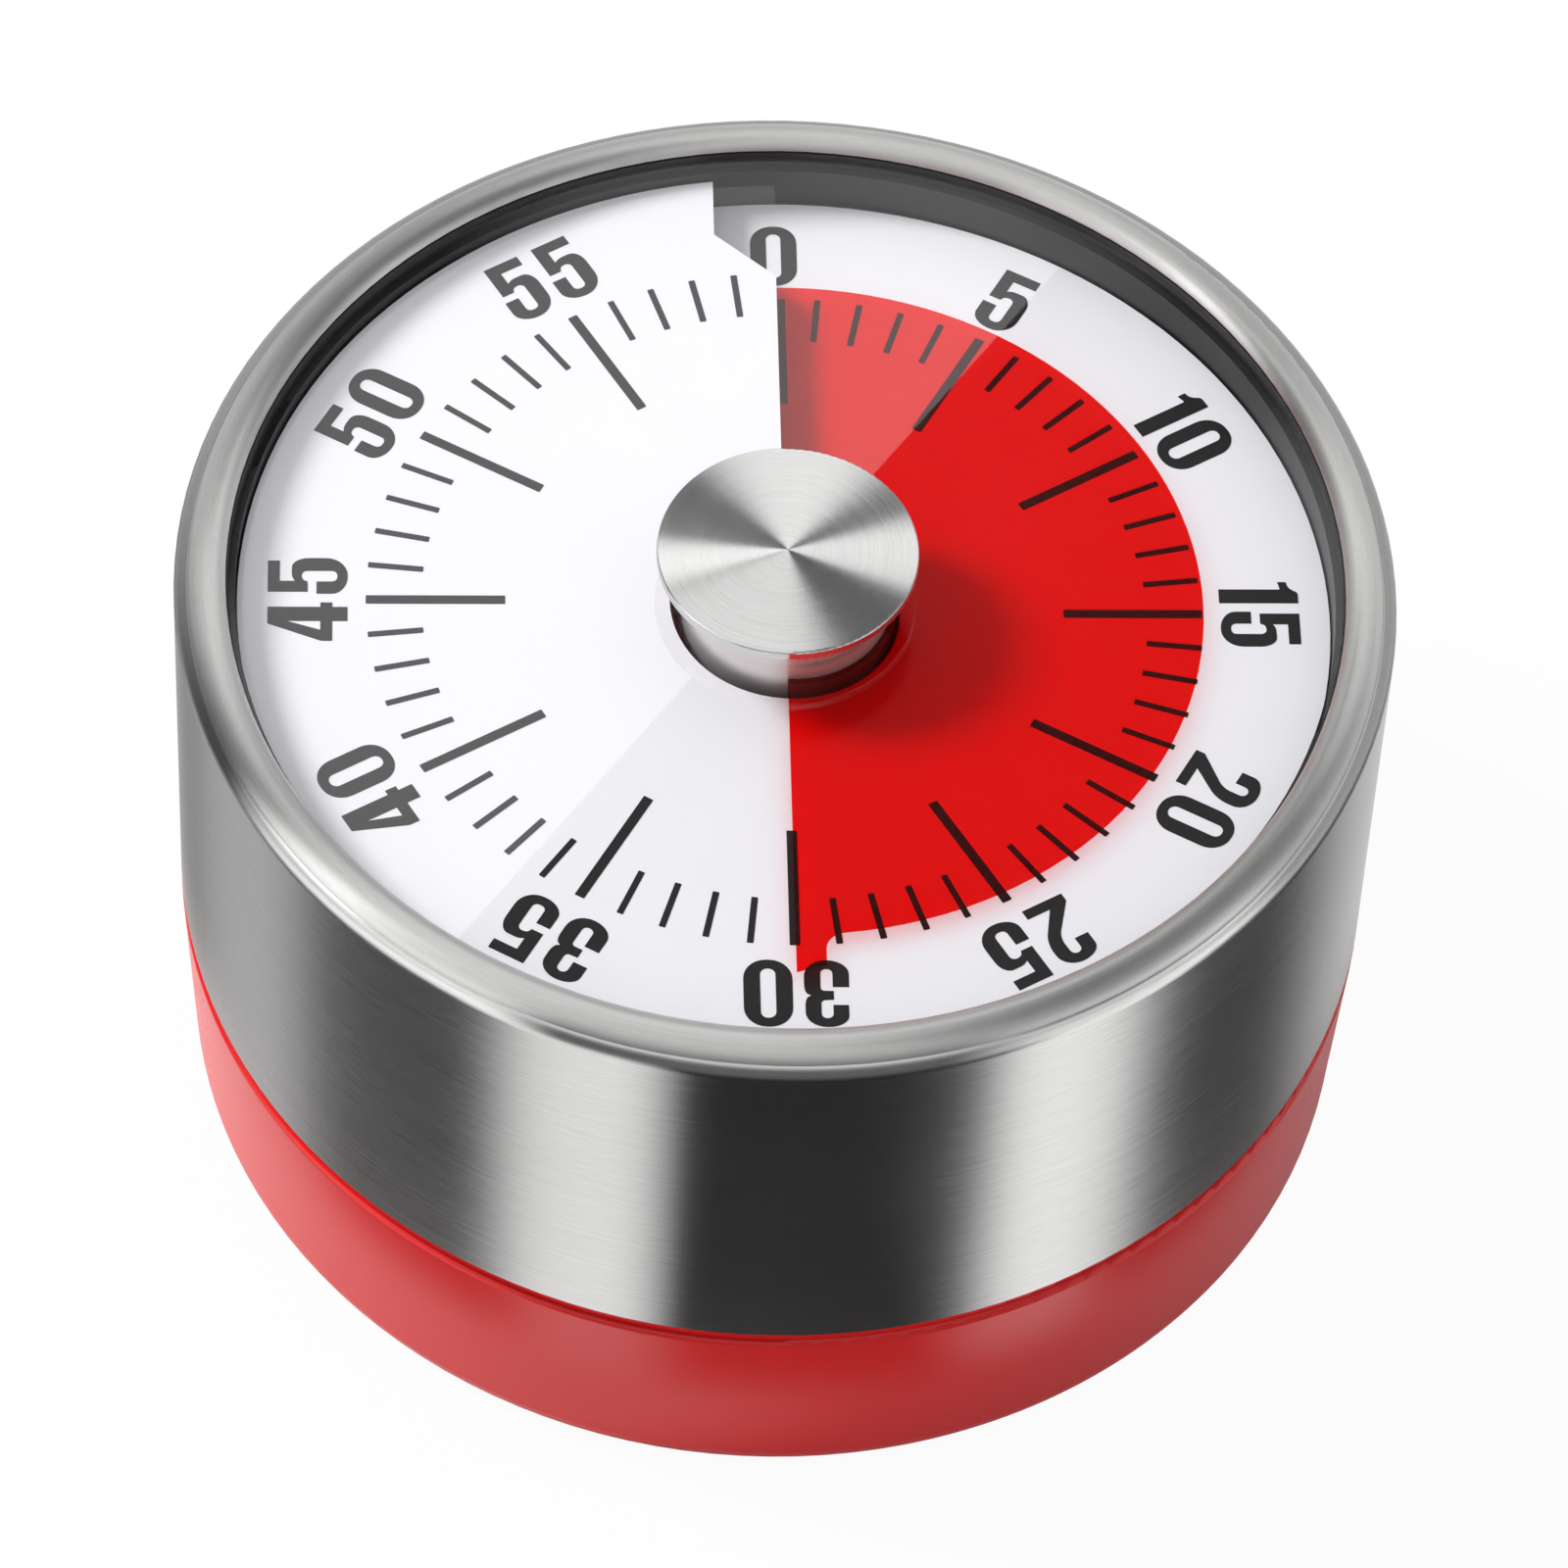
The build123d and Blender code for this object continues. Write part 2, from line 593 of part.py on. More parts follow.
def knob_cap():
    return turned(
        (0, CAP_BOTTOM - CAP_SPIGOT_H, 0),
        (CAP_SPIGOT_R, CAP_BOTTOM - CAP_SPIGOT_H, 0),
        (CAP_SPIGOT_R, CAP_BOTTOM, 0),
        (CAP_R, CAP_BOTTOM, CAP_EDGE_ROUND),
        (CAP_R, CAP_BOTTOM + CAP_T, CAP_EDGE_ROUND),
        (0, CAP_BOTTOM + CAP_T, 0),
    )


# ---- movement frame
def pivot_holes(low, high):
    return [rod(PIVOT_R + RUNNING, low, high, spot) for spot in (SECOND, THIRD, ESCAPE, BALANCE)]


def front_plate():
    low, high = FRONT_PLATE_Z, FRONT_PLATE_TOP
    holes = pivot_holes(low, high)
    holes += [rod(ARBOR_JOURNAL_R + RUNNING, low, high), rod(PIVOT_R + RUNNING, low, high, HAMMER)]
    holes += [rod(TRIP_STUD_R, low, high, TRIP), rod(WIRE_PEG_R, low, high, WIRE_FOOT)]
    holes += [rod(SCREW_R + SCREW_HOLE_PLAY, low, high, spot) for spot in PILLARS + POSTS]
    return rod(PLATE_R, low, high) - holes


def back_plate():
    low, high = BACK_PLATE_Z, BACK_PLATE_TOP
    holes = pivot_holes(low, high)
    holes += [rod(ARBOR_PIVOT_R + RUNNING, low, high), rod(HAMMER_SHAFT_R + RUNNING, low, high, HAMMER)]
    holes += [rod(SPRING_POST_R, low, high, SPRING_POST)]
    holes += [rod(SCREW_R + THREAD_PLAY, low, high, BELL_SPOT)]
    holes += [rod(SCREW_R + SCREW_HOLE_PLAY, low, high, spot) for spot in PILLARS]
    return rod(PLATE_R, low, high) - holes


def pillars():
    return [tube(PILLAR_R, SCREW_R + THREAD_PLAY, BACK_PLATE_TOP, FRONT_PLATE_Z, spot) for spot in PILLARS]


def screw_up(seat, reach, spot):
    """Screw driven upwards, its head under the seat."""
    head = rod(SCREW_HEAD_R, seat - SCREW_HEAD_H, seat, spot)
    slot = drive_slot(2 * SCREW_HEAD_R, seat - SCREW_HEAD_H, spot)
    return head - slot + rod(SCREW_R, seat, seat + reach, spot)


def screw_down(seat, reach, spot):
    """Screw driven downwards, its head over the seat."""
    head = rod(SCREW_HEAD_R, seat, seat + SCREW_HEAD_H, spot)
    slot = drive_slot(2 * SCREW_HEAD_R, seat + SCREW_HEAD_H - DRIVE_SLOT_DEPTH, spot)
    return head - slot + rod(SCREW_R, seat - reach, seat, spot)


def pillar_screws():
    reach = SCREW_REACH + PLATE_T
    top = [screw_down(FRONT_PLATE_TOP, reach, spot) for spot in PILLARS]
    return top + [screw_up(BACK_PLATE_Z, reach, spot) for spot in PILLARS]


def movement_screws():
    return [screw_up(FRONT_PLATE_Z, SCREW_REACH, spot) for spot in POSTS]


# ---- power
def main_arbor():
    return turned(
        (0, PIVOT_LOW, 0), (ARBOR_PIVOT_R, PIVOT_LOW, 0), (ARBOR_PIVOT_R, SHAFT_LOW, 0),
        (ARBOR_R, SHAFT_LOW, 0), (ARBOR_R, SHAFT_HIGH, 0), (ARBOR_JOURNAL_R, SHAFT_HIGH, 0),
        (ARBOR_JOURNAL_R, ARBOR_TOP, 0), (0, ARBOR_TOP, 0),
    )


def spiral(offset):
    """Half circles about two centres, each half turn one half pitch wider."""
    shift = SPRING_PITCH / 4
    arcs = []
    for half_turn in range(2 * SPRING_TURNS):
        lower = half_turn % 2
        centre = Plane((shift if lower else -shift, 0, 0))
        radius = SPRING_INNER_R + shift + half_turn * SPRING_PITCH / 2 + offset
        arcs.append(Edge.make_circle(radius, centre, 180 * lower, 180 * lower + 180))
    return arcs


def mainspring():
    inside, outside = spiral(-SPRING_T / 2), spiral(SPRING_T / 2)
    ends = [Edge.make_line(inside[0] @ 0, outside[0] @ 0), Edge.make_line(inside[-1] @ 1, outside[-1] @ 1)]
    strip = make_face(inside + outside + ends)
    return slab(strip, SPRING_LOW, SPRING_LOW + SPRING_H, turn=180)


def spring_post():
    return rod(SPRING_POST_R, BACK_PLATE_Z, BACK_PLATE_TOP + SPRING_POST_H, SPRING_POST)


def great_wheel():
    face = gear_face(GREAT_TEETH, FIRST_MODULE, direction(CENTRE, SECOND))
    high = GREAT_Z + GREAT_T
    root_r = (GREAT_TEETH / 2 - DEDENDUM) * FIRST_MODULE
    wheel = slab(face, GREAT_Z, high) - rod(ARBOR_R, GREAT_Z, high)
    return wheel - windows(root_r, CLUTCH_R, GREAT_Z, high, CENTRE)


def clutch_washer():
    low = GREAT_Z + GREAT_T
    inner_r = ARBOR_R + RUNNING
    return turned(
        (inner_r, CAM_Z - CLUTCH_T, 0), (CLUTCH_R, low, 0),
        (CLUTCH_R, low + CLUTCH_T, 0), (inner_r, CAM_Z, 0),
    )


def zero_cam():
    cam = tube(CAM_R, ARBOR_R, CAM_Z, CAM_TOP)
    return cam - rod(CAM_NOTCH_R, CAM_Z, CAM_TOP, polar(CAM_R, CAM_NOTCH_ANGLE))


# ---- gear train
def pinion(leaves, module, spot, wheel_spot, wheel_z, wheel_t):
    """Arbor cut with leaves; a gap between two leaves faces the wheel that drives it."""
    gap_angle = direction(spot, wheel_spot) + 180 / leaves
    face = gear_face(leaves, module, gap_angle)
    shaft = rod(SHAFT_R, SHAFT_LOW, SHAFT_HIGH, spot) + rod(PIVOT_R, PIVOT_LOW, PIVOT_HIGH, spot)
    return shaft + slab(face, wheel_z - LEAF_OVERHANG, wheel_z + wheel_t + LEAF_OVERHANG, spot)


def train_wheel(teeth, spot, driven_spot, low):
    """Thin wheel with a tooth pointing at the pinion that it drives."""
    face = gear_face(teeth, TRAIN_MODULE, direction(spot, driven_spot))
    high = low + WHEEL_T
    root_r = (teeth / 2 - DEDENDUM) * TRAIN_MODULE
    wheel = slab(face, low, high, spot) - rod(SHAFT_R, low, high, spot)
    return wheel - windows(root_r, WHEEL_BOSS_R, low, high, spot)


def second_pinion():
    return pinion(SECOND_LEAVES, FIRST_MODULE, SECOND, CENTRE, GREAT_Z, GREAT_T)


def third_pinion():
    return pinion(THIRD_LEAVES, TRAIN_MODULE, THIRD, SECOND, SECOND_Z, WHEEL_T)


def escape_pinion():
    return pinion(ESCAPE_LEAVES, TRAIN_MODULE, ESCAPE, THIRD, THIRD_Z, WHEEL_T)


def second_wheel():
    return train_wheel(SECOND_TEETH, SECOND, THIRD, SECOND_Z)


def third_wheel():
    return train_wheel(THIRD_TEETH, THIRD, ESCAPE, THIRD_Z)


def strike_star():
    high = STAR_LOW + STAR_H
    star = slab(star_face(STAR_POINTS, STAR_R, STAR_ROOT_R, STAR_LEAN), STAR_LOW, high, SECOND)
    return star - rod(SHAFT_R, STAR_LOW, high, SECOND)


# ---- escapement
def escape_wheel():
    face = star_face(ESCAPE_TEETH, ESCAPE_R, ESCAPE_ROOT_R, ESCAPE_LEAN)
    high = ESCAPE_Z + WHEEL_T
    return slab(face, ESCAPE_Z, high, ESCAPE) - rod(SHAFT_R, ESCAPE_Z, high, ESCAPE)


def pallet_spots():
    ring_r = ESCAPE_R + PALLET_GAP + PALLET_PIN_R
    towards = direction(ESCAPE, BALANCE)
    return [polar(ring_r, towards + side * PALLET_SPREAD_DEG, ESCAPE) for side in (-1, 1)]


def pallet_arm():
    low = ESCAPE_Z + WHEEL_T + PALLET_GAP_Z
    high = low + WHEEL_T
    arm = rod(BALANCE_HUB_R, low, high, BALANCE)
    for spot in pallet_spots():
        arm += bar(BALANCE, spot, PALLET_ARM_W, low, high)
    holes = [rod(PALLET_PIN_R, low, high, spot) for spot in pallet_spots()]
    return arm - holes - rod(BALANCE_STAFF_R, low, high, BALANCE)


def pallet_pins():
    top = ESCAPE_Z + WHEEL_T + PALLET_GAP_Z + WHEEL_T
    return [rod(PALLET_PIN_R, ESCAPE_Z - PALLET_GAP_Z, top, spot) for spot in pallet_spots()]


def balance_staff():
    return rod(BALANCE_STAFF_R, SHAFT_LOW, SHAFT_HIGH, BALANCE) + rod(PIVOT_R, PIVOT_LOW, PIVOT_HIGH, BALANCE)


def balance_wheel():
    low, high = BALANCE_Z, BALANCE_Z + BALANCE_T
    wheel = tube(BALANCE_R, BALANCE_R - BALANCE_RIM, low, high, BALANCE)
    wheel += rod(BALANCE_HUB_R, low, high, BALANCE)
    rim_middle_r = BALANCE_R - BALANCE_RIM / 2
    for spoke in range(BALANCE_SPOKES):
        rim_spot = polar(rim_middle_r, 360 * spoke / BALANCE_SPOKES, BALANCE)
        wheel += bar(BALANCE, rim_spot, PALLET_ARM_W, low, high)
    return wheel - rod(BALANCE_STAFF_R, low, high, BALANCE)


# ---- alarm
def bell():
    hole_r = SCREW_R + SCREW_HOLE_PLAY
    mouth = BELL_TOP - BELL_H
    cup = turned(
        (hole_r, BELL_TOP, 0), (BELL_R, BELL_TOP, BELL_ROUND), (BELL_R, mouth, 0),
        (BELL_R - BELL_T, mouth, 0), (BELL_R - BELL_T, BELL_TOP - BELL_T, BELL_ROUND - BELL_T),
        (hole_r, BELL_TOP - BELL_T, 0),
    )
    return Pos(*BELL_SPOT, 0) * cup


def bell_post():
    return tube(BELL_POST_R, SCREW_R + SCREW_HOLE_PLAY, BELL_TOP, BACK_PLATE_Z, BELL_SPOT)


def bell_screw():
    seat = BELL_TOP - BELL_T
    return screw_up(seat, BACK_PLATE_TOP - END_PLAY - seat, BELL_SPOT)


def hammer_arbor():
    shaft = rod(HAMMER_SHAFT_R, HAMMER_ARM_LOW, SHAFT_HIGH, HAMMER)
    return shaft + rod(PIVOT_R, SHAFT_HIGH, PIVOT_HIGH, HAMMER)


def hammer_arm():
    low, high = HAMMER_ARM_LOW, HAMMER_ARM_LOW + LEVER_T
    arm = rod(LEVER_HUB_R, low, high, HAMMER) + bar(HAMMER, HAMMER_HEAD, HAMMER_ARM_W, low, high)
    return arm - rod(HAMMER_SHAFT_R, low, high, HAMMER) - rod(HAMMER_RIVET_R, low, high, HAMMER_HEAD)


def hammer_head():
    head = rod(HAMMER_HEAD_R, HAMMER_ARM_LOW - HAMMER_HEAD_H, HAMMER_ARM_LOW, HAMMER_HEAD)
    return head + rod(HAMMER_RIVET_R, HAMMER_ARM_LOW, HAMMER_ARM_LOW + LEVER_T, HAMMER_HEAD)


def hammer_tail():
    low, high = HAMMER_TAIL_LOW, HAMMER_TAIL_LOW + LEVER_T
    reach = distance(HAMMER, SECOND) - STAR_R - STAR_GAP - LEVER_W / 2
    towards = direction(HAMMER, SECOND)
    tail = rod(LEVER_HUB_R, low, high, HAMMER)
    tail += bar(HAMMER, polar(reach, towards, HAMMER), LEVER_W, low, high)
    tail += bar(HAMMER, hammer_heel(), LEVER_W, low, high)
    return tail - rod(HAMMER_SHAFT_R, low, high, HAMMER)


def hammer_heel():
    return polar(HAMMER_HEEL, direction(SECOND, HAMMER), HAMMER)


def hammer_spring():
    """Clip round a pillar with a straight leaf that reaches past the hammer's heel."""
    low, high = HAMMER_TAIL_LOW, HAMMER_TAIL_LOW + LEVER_T
    anchor = PILLARS[0]
    clip_r = PILLAR_R + THREAD_PLAY
    end = polar(LEAF_HEEL_GAP, direction(SECOND, HAMMER) + 90, hammer_heel())
    clip = tube(clip_r + CLIP_T, clip_r, low, high, anchor)
    leaf = bar(polar(clip_r + CLIP_T / 2, direction(anchor, end), anchor), end, LEAF_T, low, high)
    return clip + (leaf - rod(clip_r, low, high, anchor))


def hammer_catch():
    """Short lobe on the hammer arbor that the trip lever holds back."""
    hub = rod(CATCH_HUB_R, CAM_Z, CAM_TOP, HAMMER)
    lobe = bar(HAMMER, polar(CATCH_REACH, direction(HAMMER, TRIP), HAMMER), LEVER_W, CAM_Z, CAM_TOP)
    return hub + lobe - rod(HAMMER_SHAFT_R, CAM_Z, CAM_TOP, HAMMER)


def trip_tail_end():
    reach = distance(TRIP, HAMMER) - CATCH_REACH - LEVER_W - TRIP_TAIL_GAP
    return polar(reach, direction(TRIP, HAMMER), TRIP)


def trip_lever():
    lever = rod(LEVER_HUB_R, CAM_Z, CAM_TOP, TRIP)
    lever += bar(TRIP, TRIP_NOSE, LEVER_W, CAM_Z, CAM_TOP)
    lever += bar(TRIP, trip_tail_end(), LEVER_W, CAM_Z, CAM_TOP)
    return lever - rod(TRIP_STUD_R + RUNNING, CAM_Z, CAM_TOP, TRIP)


def trip_stud():
    head_top = CAM_Z - END_PLAY
    stud = rod(TRIP_STUD_R, head_top, FRONT_PLATE_TOP, TRIP)
    stud += rod(TRIP_STUD_HEAD_R, head_top - TRIP_STUD_HEAD_T, head_top, TRIP)
    return stud + rod(TRIP_STUD_HEAD_R, CAM_TOP + END_PLAY, FRONT_PLATE_Z, TRIP)


def trip_spring():
    """Wire pegged into the front plate, lying beside the tail of the trip lever."""
    height = CAM_Z + CAM_T / 2
    end = polar(WIRE_END_GAP, direction(TRIP, HAMMER) + 90, trip_tail_end())
    wire = Rot(0, 90, 0) * Cylinder(WIRE_R, distance(WIRE_FOOT, end), align=UP)
    laid = Pos(*WIRE_FOOT, height) * Rot(0, 0, direction(WIRE_FOOT, end)) * wire
    return laid + rod(WIRE_PEG_R, height - WIRE_R, FRONT_PLATE_TOP, WIRE_FOOT)


NODES = {
    "steel_shell": steel_shell, "base_shell": base_shell, "base_screws": base_screws,
    "magnet_ring": magnet_ring, "magnet_keeper": magnet_keeper, "dial_carrier": dial_carrier,
    "bezel_ring": bezel_ring, "lens": lens, "dial": dial, "red_film": red_film, "film_hub": film_hub,
    "knob_stem": knob_stem, "knob_core": knob_core, "knob_cap": knob_cap,
    "front_plate": front_plate, "back_plate": back_plate, "pillars": pillars,
    "pillar_screws": pillar_screws, "movement_screws": movement_screws, "main_arbor": main_arbor,
    "mainspring": mainspring, "spring_post": spring_post, "great_wheel": great_wheel,
    "clutch_washer": clutch_washer, "zero_cam": zero_cam, "second_pinion": second_pinion,
    "second_wheel": second_wheel, "strike_star": strike_star, "third_pinion": third_pinion,
    "third_wheel": third_wheel, "escape_pinion": escape_pinion, "escape_wheel": escape_wheel,
    "pallet_arm": pallet_arm, "pallet_pins": pallet_pins, "balance_staff": balance_staff,
    "balance_wheel": balance_wheel, "bell": bell, "bell_post": bell_post, "bell_screw": bell_screw,
    "hammer_arbor": hammer_arbor, "hammer_arm": hammer_arm, "hammer_head": hammer_head,
    "hammer_tail": hammer_tail, "hammer_spring": hammer_spring, "hammer_catch": hammer_catch,
    "trip_lever": trip_lever, "trip_stud": trip_stud, "trip_spring": trip_spring,
}

for node, make in NODES.items():
    made = make()
    save(node, *(made if isinstance(made, list) else [made]))
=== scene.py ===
from math import atan2, cos, degrees, hypot, pi, radians, sin

import bpy
from mathutils import Matrix, Vector


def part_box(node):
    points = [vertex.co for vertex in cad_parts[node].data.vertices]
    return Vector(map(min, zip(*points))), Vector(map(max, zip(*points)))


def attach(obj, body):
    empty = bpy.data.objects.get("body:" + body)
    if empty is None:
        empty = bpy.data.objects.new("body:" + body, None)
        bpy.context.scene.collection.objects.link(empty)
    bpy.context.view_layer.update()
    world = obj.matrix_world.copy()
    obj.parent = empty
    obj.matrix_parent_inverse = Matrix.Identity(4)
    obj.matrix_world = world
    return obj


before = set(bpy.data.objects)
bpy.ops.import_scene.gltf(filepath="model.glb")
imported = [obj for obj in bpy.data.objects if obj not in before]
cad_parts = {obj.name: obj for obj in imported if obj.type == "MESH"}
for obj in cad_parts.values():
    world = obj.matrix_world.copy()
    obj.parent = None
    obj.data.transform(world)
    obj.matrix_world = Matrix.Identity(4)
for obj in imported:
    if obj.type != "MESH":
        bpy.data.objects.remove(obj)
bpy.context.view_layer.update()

# Looks of a round wind-up timer: brushed steel band over a red base, sunk white dial with
# printed minutes, red film that turns with the knob, clear window and spun steel knob.
# Metres in the frame of the part: +Z up, the zero mark towards +Y. Dial angles run
# clockwise from the zero mark.

MM = 0.001
NOUGHT = 1e-6

# ---- the dial's sheet, from the frame
DIAL_LOW, DIAL_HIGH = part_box("dial")
SHEET_T = 0.08 * MM
TAIL = 8.0                          # degrees that the sheet runs on under its own end
END_R = 27.5 * MM                   # outside this the sheet's end is cut back
RAMP_RISE = (DIAL_HIGH.z - DIAL_LOW.z - SHEET_T) * 360 / (360 + TAIL)
ZERO_HEIGHT = DIAL_HIGH.z - RAMP_RISE
DIAL_R = DIAL_HIGH.x

# ---- band and rim, from the frame: millimetres, as materials measure a point's place
BAND_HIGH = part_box("steel_shell")[1] / MM
SIDE_TOP = BAND_HIGH.z - 1.4        # the shoulder's shine starts to turn up here,
SHOULDER_R = BAND_HIGH.x - 1.3      # about a circle of this radius
GROOVE_Z = BAND_HIGH.z - 0.87       # between shoulder and lip
LIP_CREST_R = BAND_HIGH.x - 2.35
LIP_OUTER_DROP = 1.5                # how far below its crest the lip curves about, outside
LIP_INNER_DROP = 0.8
LIP_BUFFED = 0.14                   # how much rougher the lip is than the side
BAND_LIKENESS = 0.3                 # how near a shaped direction lies to the mesh's own
CAP_LIKENESS = 0.95
CAP_DISH = 0.12                     # slope that the spinning leaves on the knob's cap
TURNED = 0.25                       # strokes run round the axis: a quarter turn

# ---- print on the dial
MINUTES = 60
NUMBER_STEP = 5
MARK_OUTER_R = 26.8 * MM
MINUTE_MARK_R = 23.25 * MM
FIVE_MARK_R = 17.9 * MM
MINUTE_MARK_W = 0.42 * MM
FIVE_MARK_W = 0.66 * MM
MARK_CORNER = 0.06 * MM
NUMBER_R = 30.5 * MM                # middle of the figures
FIGURE_H = 5.1 * MM
FIGURE_GAP = 14                     # hundredths of the figures' height, as their outlines
PRINT_PROUD = 0.03 * MM
PRINT_SUNK = 0.03 * MM

# ---- camera and stage
CAMERA_AIM = Vector((0.6, 0.33, 22.8)) * MM
CAMERA_DISTANCE = 613 * MM
CAMERA_DOWN = radians(52.8)
CAMERA_AROUND = radians(-3.9)
CAMERA_ROLL = radians(3.21)
CAMERA_LENS = 214.4                 # mm, on the usual 36 mm wide sensor
CAMERA_NEAREST = 0.01
FLOOR_REACH = 3.0
FLOOR_DROP = 0.02 * MM              # keeps the foot and the floor apart
NEAR_FLOOR_R = 42.5                 # millimetres of floor that polished metal sees,
NEAR_FLOOR_EDGE = 3                 # and how softly it ends
PAPER_SHARE = 0.95                  # share of plain white in the floor; the rest keeps shadows


# ======================================================================== shader maths


class Signal:
    """One value inside a material. Sums, products and powers of it add Math nodes."""

    def __init__(self, bench, socket):
        self.bench = bench
        self.socket = socket

    def out(self, name):
        """Another output of the node that this value comes from."""
        return Signal(self.bench, self.socket.node.outputs[name])

    def _maths(self, operation, *terms):
        return self.bench.node("Math", {"operation": operation}, dict(enumerate(terms)))

    def __add__(self, other):
        return self._maths("ADD", self, other)

    def __radd__(self, other):
        return self._maths("ADD", other, self)

    def __sub__(self, other):
        return self._maths("SUBTRACT", self, other)

    def __rsub__(self, other):
        return self._maths("SUBTRACT", other, self)

    def __mul__(self, other):
        return self._maths("MULTIPLY", self, other)

    def __rmul__(self, other):
        return self._maths("MULTIPLY", other, self)

    def __truediv__(self, other):
        return self._maths("DIVIDE", self, other)

    def __rtruediv__(self, other):
        return self._maths("DIVIDE", other, self)

    def __pow__(self, other):
        return self._maths("POWER", self, other)

    def __gt__(self, other):
        return self._maths("GREATER_THAN", self, other)

    def __lt__(self, other):
        return self._maths("LESS_THAN", self, other)

    def either(self, other):
        """The larger of two values."""
        return self._maths("MAXIMUM", self, other)


class Bench:
    """The node tree of one material, or of the surroundings."""

    def __init__(self, tree):
        self.tree = tree
        tree.nodes.clear()

    def node(self, kind, settings=None, sockets=None):
        """Adds a node, makes its settings, then fills its sockets; returns its first output."""
        made = self.tree.nodes.new("ShaderNode" + kind)
        for name, value in (settings or {}).items():
            setattr(made, name, value)
        for name, value in (sockets or {}).items():
            entry = made.inputs[name] if isinstance(name, int) else usable(made.inputs, name)
            if isinstance(value, Signal):
                self.tree.links.new(value.socket, entry)
            else:
                entry.default_value = value
        outputs = [socket for socket in made.outputs if socket.enabled]
        return Signal(self, outputs[0]) if outputs else None


def usable(sockets, name):
    """The socket of that name which the node's settings leave in use."""
    return next(socket for socket in sockets if socket.name == name and socket.enabled)


def colour(red, green, blue):
    """A full colour from its three parts."""
    return (red, green, blue, 1.0)


def grey(level):
    """A neutral colour."""
    return (level, level, level, 1.0)


def part_place(bench):
    """Where a point lies in the part, in millimetres."""
    where = bench.node("TexCoord").out("Object")
    return bench.node("VectorMath", {"operation": "SCALE"}, {0: where, "Scale": 1 / MM})


def split(bench, vector):
    """The three parts of a vector."""
    parts = bench.node("SeparateXYZ", {}, {"Vector": vector})
    return parts.out("X"), parts.out("Y"), parts.out("Z")


def join(bench, x, y, z):
    """A vector from its three parts."""
    return bench.node("CombineXYZ", {}, {"X": x, "Y": y, "Z": z})


def noise(bench, vector, scale, detail=2.0, rough=0.5):
    """Soft noise round one half."""
    sockets = {"Vector": vector, "Scale": scale, "Detail": detail, "Roughness": rough}
    return bench.node("TexNoise", {}, sockets)


def blend(bench, share, first, second):
    """From the first colour to the second."""
    sockets = {"Factor": share, "A": first, "B": second}
    return bench.node("Mix", {"data_type": "RGBA"}, sockets)


def shade(bench, tint, level):
    """A colour made lighter or darker by a value round one."""
    return bench.node("VectorMath", {"operation": "SCALE"}, {0: tint, "Scale": level})


def bump(bench, height, depth, face=None):
    """A surface's normal from a height between 0 and 1 and the depth of its relief in metres."""
    sockets = {"Height": height, "Strength": 1.0, "Distance": depth}
    if face:
        sockets["Normal"] = face
    return bench.node("Bump", {}, sockets)


def step(bench, value, low, high):
    """Rises smoothly from 0 to 1 as the value goes from low to high."""
    sockets = {"Value": value, "From Min": low, "From Max": high}
    return bench.node("MapRange", {"interpolation_type": "SMOOTHSTEP"}, sockets)


def far_out(x, y):
    """How far from the axis; never quite nought, so that it can divide."""
    return (x * x + y * y + NOUGHT) ** 0.5


def ring_place(bench, round_axis, across):
    """A place drawn out round the timer's axis: noise on it makes fine circles."""
    x, y, z = split(bench, part_place(bench))
    radius = far_out(x, y)
    return join(bench, x / radius * round_axis, y / radius * round_axis, (z - radius) * across)


def in_world(bench, vector):
    """A direction of the part as it stands, turned with the piece that it lies on."""
    settings = {"vector_type": "NORMAL", "convert_from": "OBJECT", "convert_to": "WORLD"}
    return bench.node("VectorTransform", settings, {"Vector": vector})


def face_along(bench, shaped, nearness):
    """The shaped direction where the surface really faces that way, its own elsewhere."""
    own = bench.node("NewGeometry").out("Normal")
    straight = bench.node("VectorMath", {"operation": "NORMALIZE"}, {0: shaped})
    agree = bench.node("VectorMath", {"operation": "DOT_PRODUCT"}, {0: own, 1: straight})
    alike = agree.out("Value") > nearness
    return bench.node("Mix", {"data_type": "VECTOR"}, {"Factor": alike, "A": own, "B": straight})


def rolled_face(bench):
    """Which way the band faces: straight out, then over its shoulder and round the lip."""
    x, y, z = split(bench, part_place(bench))
    radius = far_out(x, y)
    on_lip = z > GROOVE_Z
    inner = radius < LIP_CREST_R
    lip_out = radius - LIP_CREST_R
    lip_up = z - (BAND_HIGH.z - LIP_OUTER_DROP) - inner * (LIP_OUTER_DROP - LIP_INNER_DROP)
    side_out = (radius - SHOULDER_R).either(0.0)
    side_up = (z - SIDE_TOP).either(0.0)
    out = side_out + on_lip * (lip_out - side_out)
    up = side_up + on_lip * (lip_up - side_up)
    return face_along(bench, join(bench, x / radius * out, y / radius * out, up), BAND_LIKENESS)


def spun_face(bench):
    """Which way the cap's top faces: up, and a little outward."""
    x, y, _ = split(bench, part_place(bench))
    radius = far_out(x, y)
    sloped = join(bench, x / radius * CAP_DISH, y / radius * CAP_DISH, 1.0)
    return face_along(bench, in_world(bench, sloped), CAP_LIKENESS)


def make_finish(name, lay):
    """One material, laid by its own function."""
    material = bpy.data.materials.new(name)
    material.use_nodes = True
    bench = Bench(material.node_tree)
    bench.node("OutputMaterial", {}, {"Surface": lay(bench)})
    return material


# ======================================================================== finishes


